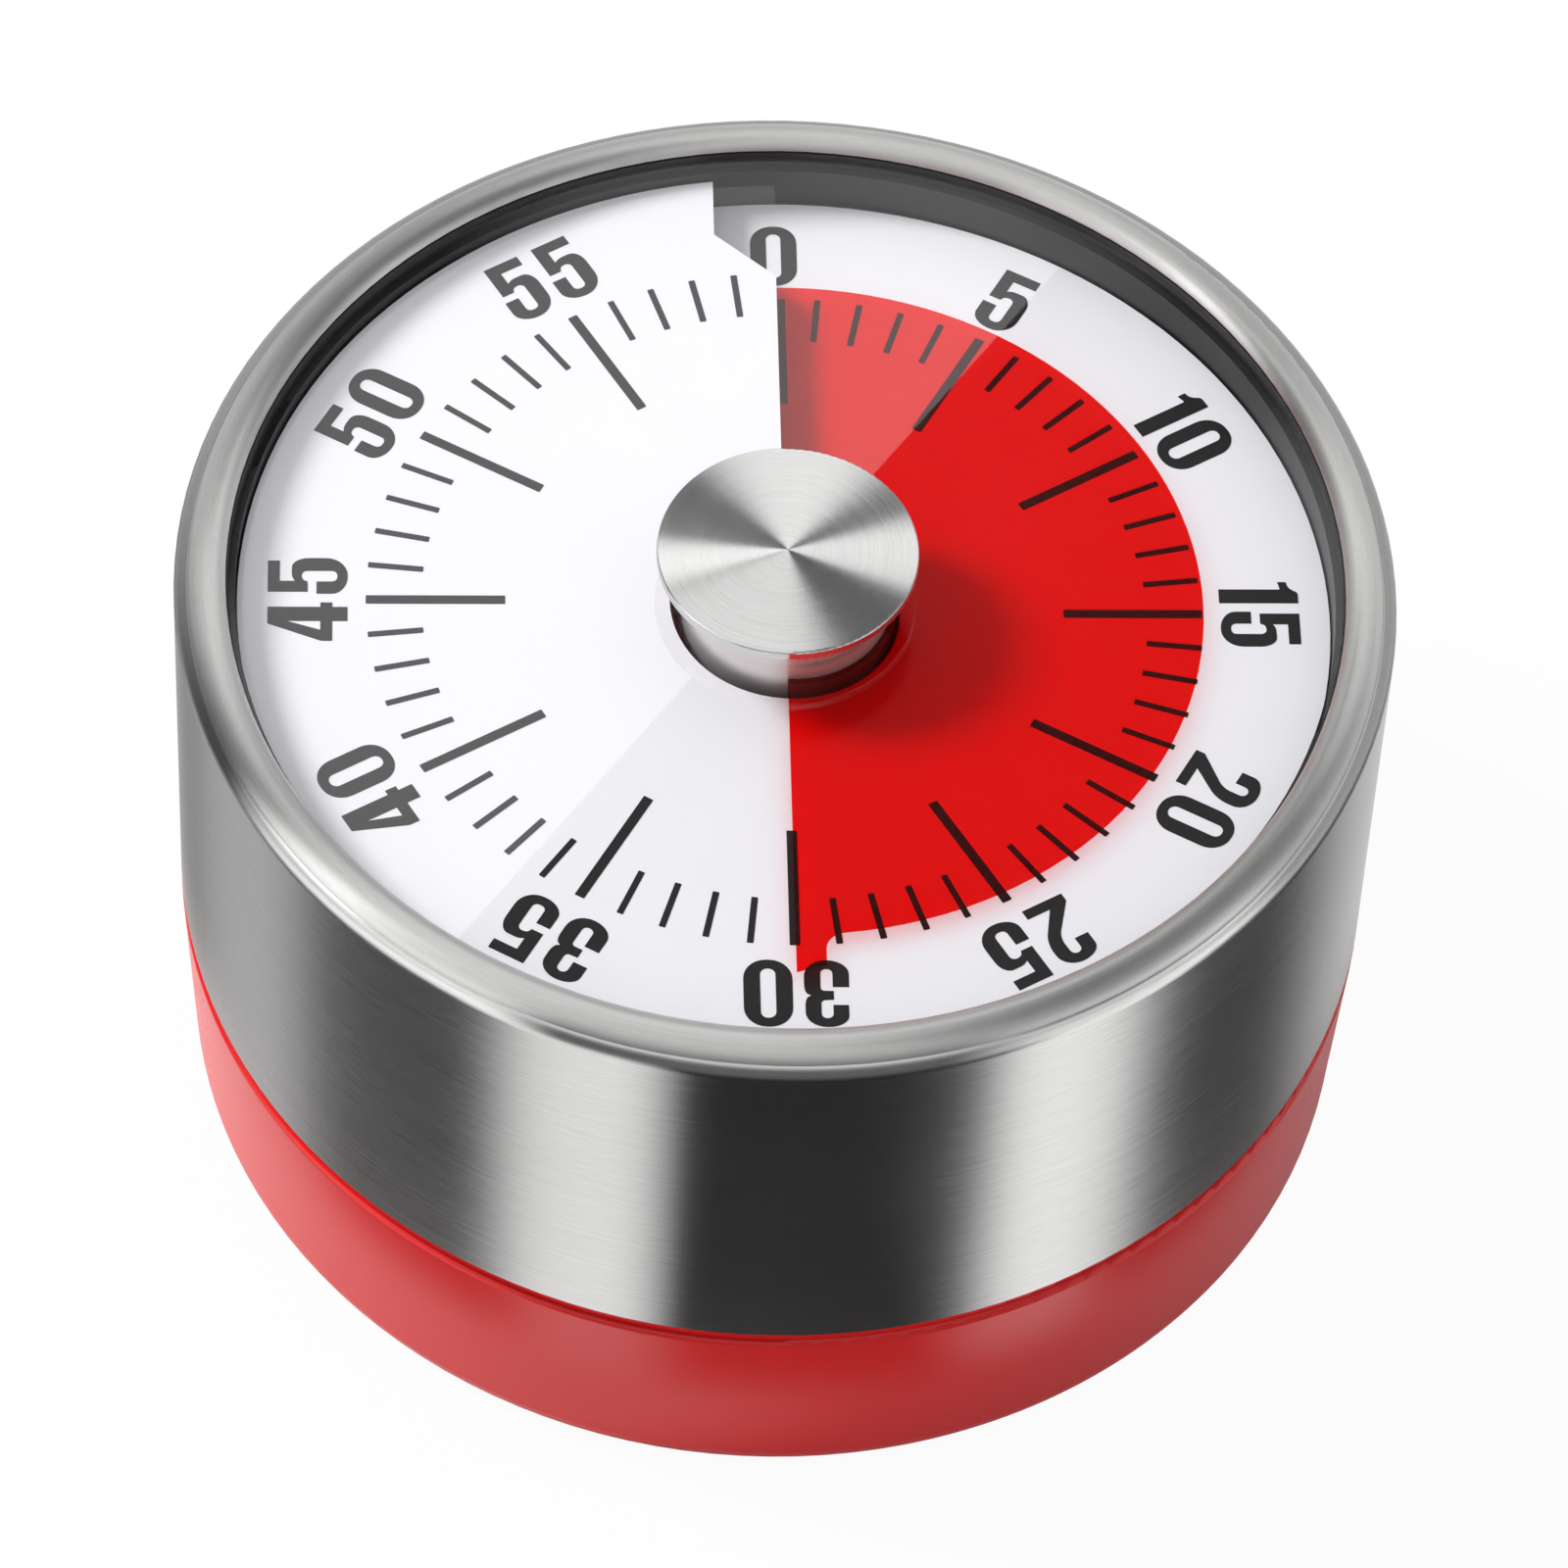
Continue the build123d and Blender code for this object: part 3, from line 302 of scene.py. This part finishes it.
def band_steel(bench):
    """Brushed round and round, with short dashes among the long strokes."""
    long_strokes = noise(bench, ring_place(bench, 2.5, 9.0), 1.0, 4.0, 0.65)
    dashes = noise(bench, ring_place(bench, 26.0, 7.0), 1.0, 3.0, 0.6)
    smudges = noise(bench, part_place(bench), 0.05, 3.0)
    grain = long_strokes * 0.6 + dashes * 0.4
    _, _, height = split(bench, part_place(bench))
    buffed = (height > GROOVE_Z) * LIP_BUFFED
    tint = shade(bench, (0.64, 0.637, 0.63), grain * 0.5 + 0.75)
    return bench.node("BsdfPrincipled", {}, {
        "Base Color": tint,
        "Metallic": 1.0,
        "Roughness": grain * 0.06 + smudges * 0.04 + buffed + 0.12,
        "Anisotropic": 1.0,
        "Anisotropic Rotation": TURNED,
        "Normal": bump(bench, grain, 0.0015 * MM, rolled_face(bench)),
    })


def knob_steel(bench):
    """Spun: fine circles round the middle of the cap."""
    circles = noise(bench, ring_place(bench, 0.7, 11.0), 1.0, 4.0, 0.65)
    dashes = noise(bench, ring_place(bench, 8.0, 9.0), 1.0, 2.0)
    grain = circles * 0.7 + dashes * 0.3
    return bench.node("BsdfPrincipled", {}, {
        "Base Color": shade(bench, (0.70, 0.695, 0.69), grain * 0.4 + 0.8),
        "Metallic": 1.0,
        "Roughness": grain * 0.06 + 0.15,
        "Anisotropic": 1.0,
        "Anisotropic Rotation": TURNED,
        "Normal": bump(bench, grain, 0.002 * MM, spun_face(bench)),
    })


def stem_steel(bench):
    """Polished tube with faint marks of the buffing wheel."""
    buffing = noise(bench, ring_place(bench, 1.5, 5.0), 1.0, 3.0)
    return bench.node("BsdfPrincipled", {}, {
        "Base Color": shade(bench, (0.88, 0.84, 0.82), buffing * 0.1 + 0.95),
        "Metallic": 0.65,
        "Roughness": buffing * 0.1 + 0.3,
        "Normal": bump(bench, buffing, 0.002 * MM),
    })


def base_red(bench):
    """Glossy moulded red, very slightly uneven as injection mouldings are."""
    place = part_place(bench)
    flow = noise(bench, place, 0.06, 2.0)
    pores = noise(bench, place, 2.2, 3.0, 0.6)
    tint = blend(bench, flow, colour(0.66, 0.010, 0.010), colour(0.72, 0.012, 0.014))
    return bench.node("BsdfPrincipled", {}, {
        "Base Color": tint,
        "Roughness": pores * 0.08 + flow * 0.06 + 0.16,
        "Specular IOR Level": 0.42,
        "Normal": bump(bench, pores, 0.0012 * MM),
    })


def case_black(bench):
    """Matt black moulding with a fine spark-eroded texture."""
    place = part_place(bench)
    grain = noise(bench, place, 5.0, 3.0, 0.7)
    haze = noise(bench, place, 0.12, 2.0)
    return bench.node("BsdfPrincipled", {}, {
        "Base Color": blend(bench, grain * 0.6 + haze * 0.4, grey(0.012), grey(0.026)),
        "Roughness": grain * 0.15 + 0.42,
        "Normal": bump(bench, grain, 0.008 * MM),
    })


def dial_white(bench):
    """Satin white sheet, a trace of blue in it."""
    place = part_place(bench)
    fibre = noise(bench, place, 4.0, 3.0, 0.6)
    cloud = noise(bench, place, 0.09, 2.0)
    tint = blend(bench, cloud, colour(0.852, 0.842, 0.882), colour(0.868, 0.858, 0.892))
    return bench.node("BsdfPrincipled", {}, {
        "Base Color": tint,
        "Roughness": fibre * 0.12 + 0.46,
        "Specular IOR Level": 0.3,
        "Normal": bump(bench, fibre, 0.0015 * MM),
    })


def print_black(bench):
    """Screen-printed ink: dense black, a little uneven."""
    speckle = noise(bench, part_place(bench), 6.0, 3.0, 0.6)
    return bench.node("BsdfPrincipled", {}, {
        "Base Color": blend(bench, speckle, grey(0.008), grey(0.018)),
        "Roughness": speckle * 0.2 + 0.38,
        "Specular IOR Level": 0.3,
        "Normal": bump(bench, speckle, 0.002 * MM),
    })


def see_through(bench, tints, patches, gloss, roughness):
    """Light goes straight through, in one of two tints, and a share of it is mirrored."""
    paler, deeper = (bench.node("BsdfTransparent", {}, {"Color": tint}) for tint in tints)
    through = bench.node("MixShader", {}, {0: patches, 1: paler, 2: deeper})
    mirrored = bench.node("BsdfGlossy", {}, {"Color": grey(1.0), "Roughness": roughness})
    seen = bench.node("MixShader", {}, {0: gloss, 1: through, 2: mirrored})
    shading = bench.node("BsdfTransparent", {}, {"Color": grey(0.97)})
    in_shadow = bench.node("LightPath").out("Is Shadow Ray")
    return bench.node("MixShader", {}, {0: in_shadow, 1: seen, 2: shading})


def film_red(bench):
    """Red film: the print below shows through it in black."""
    streaks = noise(bench, part_place(bench), 0.8, 3.0)
    tints = colour(0.97, 0.012, 0.018), colour(0.95, 0.009, 0.013)
    return see_through(bench, tints, streaks, 0.012, streaks * 0.1 + 0.12)


def lens_clear(bench):
    """Clear window, polished on both sides."""
    haze = noise(bench, part_place(bench), 0.3, 3.0)
    outside = 1 - bench.node("NewGeometry").out("Backfacing")
    return see_through(bench, (grey(0.995), grey(0.985)), haze, outside * 0.045, haze * 0.01)


def hub_black(bench):
    """Ring under the stem, near-black with a trace of red: painted shade of the narrow gap round the
    stem.
    """
    swirl = noise(bench, ring_place(bench, 1.0, 4.0), 1.0, 3.0)
    return bench.node("BsdfPrincipled", {}, {
        # near-black reds: painted shade of the gap round the stem
        "Base Color": blend(bench, swirl, colour(0.06, 0.008, 0.010), colour(0.09, 0.012, 0.014)),
        "Roughness": swirl * 0.15 + 0.22,
        "Normal": bump(bench, swirl, 0.002 * MM),
    })


def worked_metal(bench, dark, light, roughness, grain_scale, stretch, relief):
    """Metal with a drawn grain, between two tints."""
    place = part_place(bench)
    drawn = bench.node("VectorMath", {"operation": "MULTIPLY"}, {0: place, 1: stretch})
    grain = noise(bench, drawn, grain_scale, 4.0, 0.6)
    patches = noise(bench, place, 0.25, 2.0)
    return bench.node("BsdfPrincipled", {}, {
        "Base Color": blend(bench, grain * 0.6 + patches * 0.4, dark, light),
        "Metallic": 1.0,
        "Roughness": grain * 0.16 + patches * 0.08 + roughness,
        "Normal": bump(bench, grain, relief),
    })


def plate_brass(bench):
    """Stamped sheet, rolled along one way."""
    return worked_metal(bench, colour(0.62, 0.44, 0.19), colour(0.80, 0.61, 0.30),
                        0.2, 3.0, (0.15, 2.0, 1.0), 0.003 * MM)


def wheel_brass(bench):
    """Cut wheels with satin faces."""
    return worked_metal(bench, colour(0.66, 0.49, 0.21), colour(0.84, 0.66, 0.34),
                        0.16, 4.0, (1.0, 1.0, 0.3), 0.002 * MM)


def arbor_steel(bench):
    """Turned and burnished."""
    return worked_metal(bench, colour(0.46, 0.47, 0.49), colour(0.62, 0.63, 0.65),
                        0.12, 3.0, (0.4, 0.4, 4.0), 0.002 * MM)


def spring_steel(bench):
    """Blued strip."""
    return worked_metal(bench, colour(0.10, 0.13, 0.24), colour(0.26, 0.27, 0.33),
                        0.2, 2.0, (1.0, 1.0, 3.0), 0.002 * MM)


def bell_steel(bench):
    """Plated and polished dome."""
    return worked_metal(bench, colour(0.68, 0.67, 0.64), colour(0.78, 0.77, 0.75),
                        0.06, 1.5, (1.0, 1.0, 1.0), 0.001 * MM)


def lever_steel(bench):
    """Stamped and tumbled."""
    return worked_metal(bench, colour(0.42, 0.42, 0.42), colour(0.58, 0.58, 0.57),
                        0.24, 5.0, (1.0, 1.0, 1.0), 0.004 * MM)


def screw_steel(bench):
    """Zinc plated."""
    return worked_metal(bench, colour(0.45, 0.46, 0.47), colour(0.62, 0.63, 0.64),
                        0.2, 4.0, (1.0, 1.0, 1.0), 0.002 * MM)


def wheel_nylon(bench):
    """Natural moulded nylon, slightly waxy."""
    grain = noise(bench, part_place(bench), 3.0, 3.0)
    return bench.node("BsdfPrincipled", {}, {
        "Base Color": blend(bench, grain, colour(0.78, 0.76, 0.68), colour(0.86, 0.85, 0.79)),
        "Roughness": grain * 0.15 + 0.36,
        "Normal": bump(bench, grain, 0.003 * MM),
    })


def magnet_black(bench):
    """Sintered, dark and dusty."""
    grain = noise(bench, part_place(bench), 6.0, 4.0, 0.7)
    return bench.node("BsdfPrincipled", {}, {
        "Base Color": blend(bench, grain, grey(0.04), grey(0.10)),
        "Metallic": 0.3,
        "Roughness": grain * 0.2 + 0.5,
        "Normal": bump(bench, grain, 0.01 * MM),
    })


FINISHES = {
    "band_steel": band_steel,
    "knob_steel": knob_steel,
    "stem_steel": stem_steel,
    "base_red": base_red,
    "case_black": case_black,
    "dial_white": dial_white,
    "film_red": film_red,
    "lens_clear": lens_clear,
    "hub_black": hub_black,
    "plate_brass": plate_brass,
    "wheel_brass": wheel_brass,
    "arbor_steel": arbor_steel,
    "spring_steel": spring_steel,
    "wheel_nylon": wheel_nylon,
    "bell_steel": bell_steel,
    "lever_steel": lever_steel,
    "screw_steel": screw_steel,
    "magnet_black": magnet_black,
}


def dress_nodes():
    """Every piece of the frame gets the finish that its slot is named for."""
    finishes = {slot: make_finish(slot + "_finish", lay) for slot, lay in FINISHES.items()}
    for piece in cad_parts.values():
        slot = piece.data.materials[0].name
        piece.data.materials[0] = finishes[slot]


# ======================================================================== print on the dial

# A figure is drawn in hundredths of its height, y up from its foot. A corner is (x, y) or
# (x, y, rounding); the outline comes first, then its hole if it has one.

FIGURES = {
    "0": (60, [
        [(0, 0, 28), (60, 0, 28), (60, 100, 28), (0, 100, 28)],
        [(20.5, 13, 9), (20.5, 87, 9), (39.5, 87, 9), (39.5, 13, 9)],
    ]),
    "1": (34, [
        [(12, 0), (34, 0), (34, 100), (17, 100, 3), (10, 88, 8), (0, 86, 1), (0, 75), (12, 78, 2)],
    ]),
    "2": (57, [
        [(0, 0), (57, 0), (57, 14), (25, 14), (56, 56, 14), (56, 100, 27), (3, 100, 27), (3, 66),
         (22, 66), (22, 86.5, 7.5), (37, 86.5, 7.5), (37, 56, 10), (0, 12)],
    ]),
    "3": (55, [
        [(0, 0, 27), (55, 0, 27), (55, 49, 12), (46, 53, 2), (54, 57, 12), (54, 100, 27),
         (1, 100, 27), (1, 67), (20, 67), (20, 87, 7), (34.5, 87, 7), (34.5, 60, 5), (19, 59),
         (19, 46), (35, 46, 5), (35, 13, 7), (20, 13, 7), (20, 40), (0, 40)],
    ]),
    "4": (60, [
        [(31, 0), (53, 0), (53, 19), (60, 19), (60, 34), (53, 34), (53, 100), (27, 100),
         (0, 33), (0, 19), (31, 19)],
        [(17, 34), (31, 76), (31, 34)],
    ]),
    "5": (56, [
        [(0, 0, 27), (56, 0, 27), (56, 70, 21), (27, 70, 5), (20, 66), (20, 85), (52, 85), (52, 100),
         (3, 100), (3, 50), (19, 50), (22, 57.5, 6), (36, 57.5, 7), (36, 13, 7), (19, 13, 7),
         (19, 39), (0, 39)],
    ]),
}
FIGURE_UNITS = 100
CORNER_STEPS = 7


def rounded(corners):
    """Points of a closed outline whose corners are rounded as each one asks."""
    points = []
    for i, corner in enumerate(corners):
        here = Vector(corner[:2])
        rounding = corner[2] if len(corner) > 2 else 0
        if not rounding:
            points.append(here)
            continue
        back = Vector(corners[i - 1][:2]) - here
        ahead = Vector(corners[(i + 1) % len(corners)][:2]) - here
        start = here + back.normalized() * min(rounding, back.length / 2)
        end = here + ahead.normalized() * min(rounding, ahead.length / 2)
        points += [quarter_turn(start, here, end, k / CORNER_STEPS)
                   for k in range(CORNER_STEPS + 1)]
    return points


def quarter_turn(start, corner, end, share):
    """A point on the quarter ellipse that starts and ends towards a corner."""
    centre = start + end - corner
    angle = share * pi / 2
    return centre + (start - centre) * cos(angle) + (end - centre) * sin(angle)


def dial_point(angle, radius, aside):
    """Where a mark's own point falls: out along its angle, then clockwise beside it."""
    turn = radians(angle)
    return Vector((radius * sin(turn) + aside * cos(turn), radius * cos(turn) - aside * sin(turn)))


def bar_outline(angle, inner, outer, width):
    """A mark of even width along a radius; the zero mark lies all on the sheet's lower start."""
    left = -width / 2 if angle else 0
    right = left + width
    corners = [(left, inner, MARK_CORNER), (right, inner, MARK_CORNER),
               (right, outer, MARK_CORNER), (left, outer, MARK_CORNER)]
    return [dial_point(angle, point.y, point.x) for point in rounded(corners)]


def number_outlines(minute):
    """The figures of one number, side by side, upright seen from the middle."""
    text = str(minute)
    size = FIGURE_H / FIGURE_UNITS
    wide = sum(FIGURES[figure][0] for figure in text) + FIGURE_GAP * (len(text) - 1)
    angle = minute * 360 / MINUTES
    left = -wide / 2
    outlines = []
    for figure in text:
        width, rings = FIGURES[figure]
        for ring in rings:
            outlines.append([
                dial_point(angle, NUMBER_R + (point.y - FIGURE_UNITS / 2) * size,
                           (left + point.x) * size)
                for point in rounded(ring)
            ])
        left += width + FIGURE_GAP
    return outlines


def ramp_height(x, y):
    """Height of the dial's face, which climbs clockwise once round."""
    angle = degrees(atan2(x, y)) % 360
    if angle > 360 - TAIL and hypot(x, y) > END_R:
        angle -= 360
    return ZERO_HEIGHT + RAMP_RISE * angle / 360


def printed(name, outlines, ink):
    """Filled outlines laid on the dial's ramp as one thin piece."""
    drawing = bpy.data.curves.new(name + "_outline", "CURVE")
    drawing.dimensions = "2D"
    drawing.fill_mode = "BOTH"
    drawing.extrude = (PRINT_PROUD + PRINT_SUNK) / 2
    for outline in outlines:
        spline = drawing.splines.new("POLY")
        spline.points.add(len(outline) - 1)
        for point, place in zip(spline.points, outline):
            point.co = (place.x, place.y, 0, 1)
        spline.use_cyclic_u = True
    sketch = bpy.data.objects.new(name + "_sketch", drawing)
    bpy.context.scene.collection.objects.link(sketch)
    bpy.context.view_layer.update()
    solved = sketch.evaluated_get(bpy.context.evaluated_depsgraph_get())
    mesh = bpy.data.meshes.new_from_object(solved)
    bpy.data.objects.remove(sketch)
    middle = (PRINT_PROUD - PRINT_SUNK) / 2
    for vertex in mesh.vertices:
        vertex.co.z += middle + ramp_height(vertex.co.x, vertex.co.y)
    mesh.materials.clear()
    mesh.materials.append(ink)
    piece = bpy.data.objects.new(name, mesh)
    bpy.context.scene.collection.objects.link(piece)
    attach(piece, "case")


def print_dial():
    """Marks for each minute, longer ones for each five, and the numbers outside them."""
    ink = make_finish("print_black_finish", print_black)
    turn = 360 / MINUTES
    minutes = [bar_outline(m * turn, MINUTE_MARK_R, MARK_OUTER_R, MINUTE_MARK_W)
               for m in range(MINUTES) if m % NUMBER_STEP]
    fives = [bar_outline(m * turn, FIVE_MARK_R, MARK_OUTER_R, FIVE_MARK_W)
             for m in range(0, MINUTES, NUMBER_STEP)]
    numbers = [outline for m in range(0, MINUTES, NUMBER_STEP) for outline in number_outlines(m)]
    printed("minute_marks", minutes, ink)
    printed("five_minute_marks", fives, ink)
    printed("numbers", numbers, ink)


# ======================================================================== studio

# two points on the window that the straight edge of its glare runs through
GLARE_EDGE = (Vector((14.1, 20.02, 44.9)) * MM, Vector((-19.04, -25.77, 44.9)) * MM)
WINDOW_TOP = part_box("lens")[1].z
GLARE_SPREAD = radians(3.8)
GLARE_SOFT = 1.3                    # its edge, as a multiple of its spread
GLARE_R = DIAL_R - 0.4 * MM         # the window's bright part ends over the dial's edge,
GLARE_NEARER = 1.6 * MM             # seen through the window this much towards the front,
GLARE_NEARER_LOW = 1.5 * MM         # and more where the dial's sheet starts low
GLARE_LEVEL = 2.05
GLARE_GAP_LEVEL = 0.04

# The studio as polished metal sees it: a dark ground, and cards that stand out of it. A card
# is (bearing, half its width, softness of its edges, brightness), the first three in degrees.
# Looking down:
STUDIO_ROUND = 0.02, (
    (-128, 4, 18, 1.15), (-32, 5, 16, 1.25), (74, 8, 46, 0.75), (146, 10, 18, 0.55),
)
# looking about level
STUDIO_EDGE = 0.15, ((-158, 18, 16, 1.35), (-34, 8, 24, 0.95), (60, 60, 44, 0.65))
# looking well up
STUDIO_HIGH = 0.2, ((-174, 1, 12, 2.0), (-110, 40, 34, 0.65), (90, 42, 26, 0.7))
# and round the way in which a level mirror sends the eye
STUDIO_ABOVE = 0.03, (
    (-90, 8, 30, 1.2), (-12, 16, 16, 1.2), (114, 30, 26, 1.0), (178, 7, 14, 1.4),
)
ABOVE_SPREAD = radians(22)
ABOVE_SOFT = 1.4                    # its edge, as a multiple of its spread
LOW_TO_LEVEL = -0.62, -0.4          # how far up a direction points where one row of
LEVEL_TO_HIGH = 0.26, 0.42          # cards gives way to the next
FILL_OVERHEAD = 0.76
FILL_LEVEL = 0.32
FILL_COLOUR = (0.98, 0.985, 1.0, 1.0)
KEY_BEARING = radians(159)
KEY_HEIGHT = radians(40.5)
KEY_DISTANCE = 1.5
KEY_SIZE = 0.5
KEY_POWER = 19.4


def cards_round(bench, east, north, ground, cards):
    """Brightness round a circle: each card adds to the ground, with soft edges."""
    across = far_out(east, north)
    shown = ground
    for bearing, half, soft, level in cards:
        facing = (east * cos(radians(bearing)) + north * sin(radians(bearing))) / across
        lit = step(bench, facing, cos(radians(half + soft)), cos(radians(half)))
        shown = lit * level + shown
    return shown


def camera_axes():
    """The camera's own right, up and forward before it stands round the part."""
    forward = Vector((0, cos(CAMERA_DOWN), -sin(CAMERA_DOWN)))
    level_up = Vector((0, sin(CAMERA_DOWN), cos(CAMERA_DOWN)))
    right = Vector((1, 0, 0)) * cos(CAMERA_ROLL) + level_up * sin(CAMERA_ROLL)
    up = level_up * cos(CAMERA_ROLL) - Vector((1, 0, 0)) * sin(CAMERA_ROLL)
    around = Matrix.Rotation(CAMERA_AROUND, 3, "Z")
    return around @ right, around @ up, around @ forward


def place_camera():
    """Looks down at the timer from the front."""
    right, up, forward = camera_axes()
    lens = bpy.data.cameras.new("camera")
    lens.lens = CAMERA_LENS
    lens.clip_start = CAMERA_NEAREST
    camera = bpy.data.objects.new("camera", lens)
    bpy.context.scene.collection.objects.link(camera)
    turned = Matrix((right, up, -forward)).transposed().to_4x4()
    camera.matrix_world = Matrix.Translation(CAMERA_AIM - forward * CAMERA_DISTANCE) @ turned
    bpy.context.scene.camera = camera
    return camera.matrix_world.translation.copy()


def glare_on_window(bench, way, camera_place):
    """Where the window mirrors a bright wall: one side of a straight edge, over the dial."""
    mirrored = Vector((camera_place.x, camera_place.y, 2 * WINDOW_TOP - camera_place.z))
    first, second = (point - mirrored for point in GLARE_EDGE)
    lit = along(bench, way, second.cross(first).normalized()) > 0
    x, y, z = split(bench, way)
    reach = (WINDOW_TOP - mirrored.z) / z
    spot_x = x * reach + mirrored.x
    nearer = (spot_x > 0) * GLARE_NEARER_LOW + GLARE_NEARER
    spot_y = y * reach + mirrored.y + nearer
    over_dial = (spot_x * spot_x + spot_y * spot_y) ** 0.5 < GLARE_R
    return lit * (GLARE_LEVEL - GLARE_GAP_LEVEL) + GLARE_GAP_LEVEL, over_dial


def along(bench, way, axis):
    """How far a direction goes along an axis."""
    return bench.node("VectorMath", {"operation": "DOT_PRODUCT"}, {0: way, 1: axis}).out("Value")


def looked_at(rays):
    """Whether the eye sees this, bare or through the window."""
    return rays.out("Is Camera Ray").either(rays.out("Is Transmission Ray"))


def light_world(camera_place):
    """White to the eye, a soft pale fill for matt surfaces, cards on a dark ground for gloss."""
    world = bpy.data.worlds.new("studio")
    bpy.context.scene.world = world
    world.use_nodes = True
    bench = Bench(world.node_tree)
    way = bench.node("TexCoord").out("Generated")
    x, y, z = split(bench, way)
    low, edge, high = (cards_round(bench, x, y, *row)
                       for row in (STUDIO_ROUND, STUDIO_EDGE, STUDIO_HIGH))
    _, _, forward = camera_axes()
    mirror = Vector((forward.x, forward.y, -forward.z))
    sideways = mirror.cross(Vector((0, 0, 1))).normalized()
    over = sideways.cross(mirror)
    above = cards_round(bench, along(bench, way, sideways), along(bench, way, over), *STUDIO_ABOVE)
    nearness = along(bench, way, mirror)
    cards = blend(bench, step(bench, z, *LOW_TO_LEVEL), low, edge)
    cards = blend(bench, step(bench, z, *LEVEL_TO_HIGH), cards, high)
    near = step(bench, nearness, cos(ABOVE_SPREAD * ABOVE_SOFT), cos(ABOVE_SPREAD))
    cards = blend(bench, near, cards, above)
    glare, over_dial = glare_on_window(bench, way, camera_place)
    close = step(bench, nearness, cos(GLARE_SPREAD * GLARE_SOFT), cos(GLARE_SPREAD))
    seen_in_gloss = blend(bench, close * over_dial, cards, glare)

    rays = bench.node("LightPath")
    glossy = bench.node("Background", {}, {"Color": seen_in_gloss, "Strength": 1.0})
    white = bench.node("Background", {}, {"Color": grey(1.0), "Strength": 1.0})
    level, overhead = (bench.node("Background", {}, {"Color": FILL_COLOUR, "Strength": strength})
                       for strength in (FILL_LEVEL, FILL_OVERHEAD))
    fill = bench.node("MixShader", {}, {0: z.either(0.0), 1: level, 2: overhead})
    matt_or_gloss = bench.node("MixShader", {}, {0: rays.out("Is Glossy Ray"), 1: fill, 2: glossy})
    shown = bench.node("MixShader", {}, {0: looked_at(rays), 1: matt_or_gloss, 2: white})
    bench.node("OutputWorld", {}, {"Surface": shown})


def add_key_light():
    """One large soft light from the left, a little behind."""
    lamp = bpy.data.lights.new("key", "AREA")
    lamp.shape = "DISK"
    lamp.size = KEY_SIZE
    lamp.energy = KEY_POWER
    key = bpy.data.objects.new("key", lamp)
    bpy.context.scene.collection.objects.link(key)
    towards = Vector((cos(KEY_BEARING) * cos(KEY_HEIGHT), sin(KEY_BEARING) * cos(KEY_HEIGHT),
                      sin(KEY_HEIGHT)))
    key.location = towards * KEY_DISTANCE + Vector((0, 0, WINDOW_TOP))
    key.rotation_euler = towards.to_track_quat("Z", "Y").to_euler()
    key.visible_glossy = False


def floor_white(bench):
    """Plain white floor that keeps a soft shadow; metal sees only its near part."""
    place = part_place(bench)
    x, y, _ = split(bench, place)
    tooth = noise(bench, place, 0.4, 3.0)
    rays = bench.node("LightPath")
    matt = bench.node("BsdfDiffuse", {}, {
        "Color": blend(bench, tooth, grey(0.84), grey(0.86)),
        "Normal": bump(bench, tooth, 0.02 * MM),
    })
    paper = bench.node("Emission", {}, {"Color": grey(1.0), "Strength": 1.0})
    pale = bench.node("MixShader", {}, {0: looked_at(rays) * PAPER_SHARE, 1: matt, 2: paper})
    far = step(bench, far_out(x, y), NEAR_FLOOR_R, NEAR_FLOOR_R + NEAR_FLOOR_EDGE)
    clear = bench.node("BsdfTransparent", {}, {"Color": grey(1.0)})
    return bench.node("MixShader", {}, {0: far * rays.out("Is Glossy Ray"), 1: pale, 2: clear})


def lay_floor():
    """The surface that the timer stands on."""
    mesh = bpy.data.meshes.new("floor")
    corners = [(x * FLOOR_REACH, y * FLOOR_REACH, -FLOOR_DROP)
               for x, y in ((-1, -1), (1, -1), (1, 1), (-1, 1))]
    mesh.from_pydata(corners, [], [(0, 1, 2, 3)])
    mesh.materials.append(make_finish("floor_white", floor_white))
    floor = bpy.data.objects.new("floor", mesh)
    bpy.context.scene.collection.objects.link(floor)


# ======================================================================== the whole scene

camera_place = place_camera()
light_world(camera_place)
add_key_light()
lay_floor()
dress_nodes()
print_dial()
bpy.context.scene.view_settings.view_transform = "Standard"
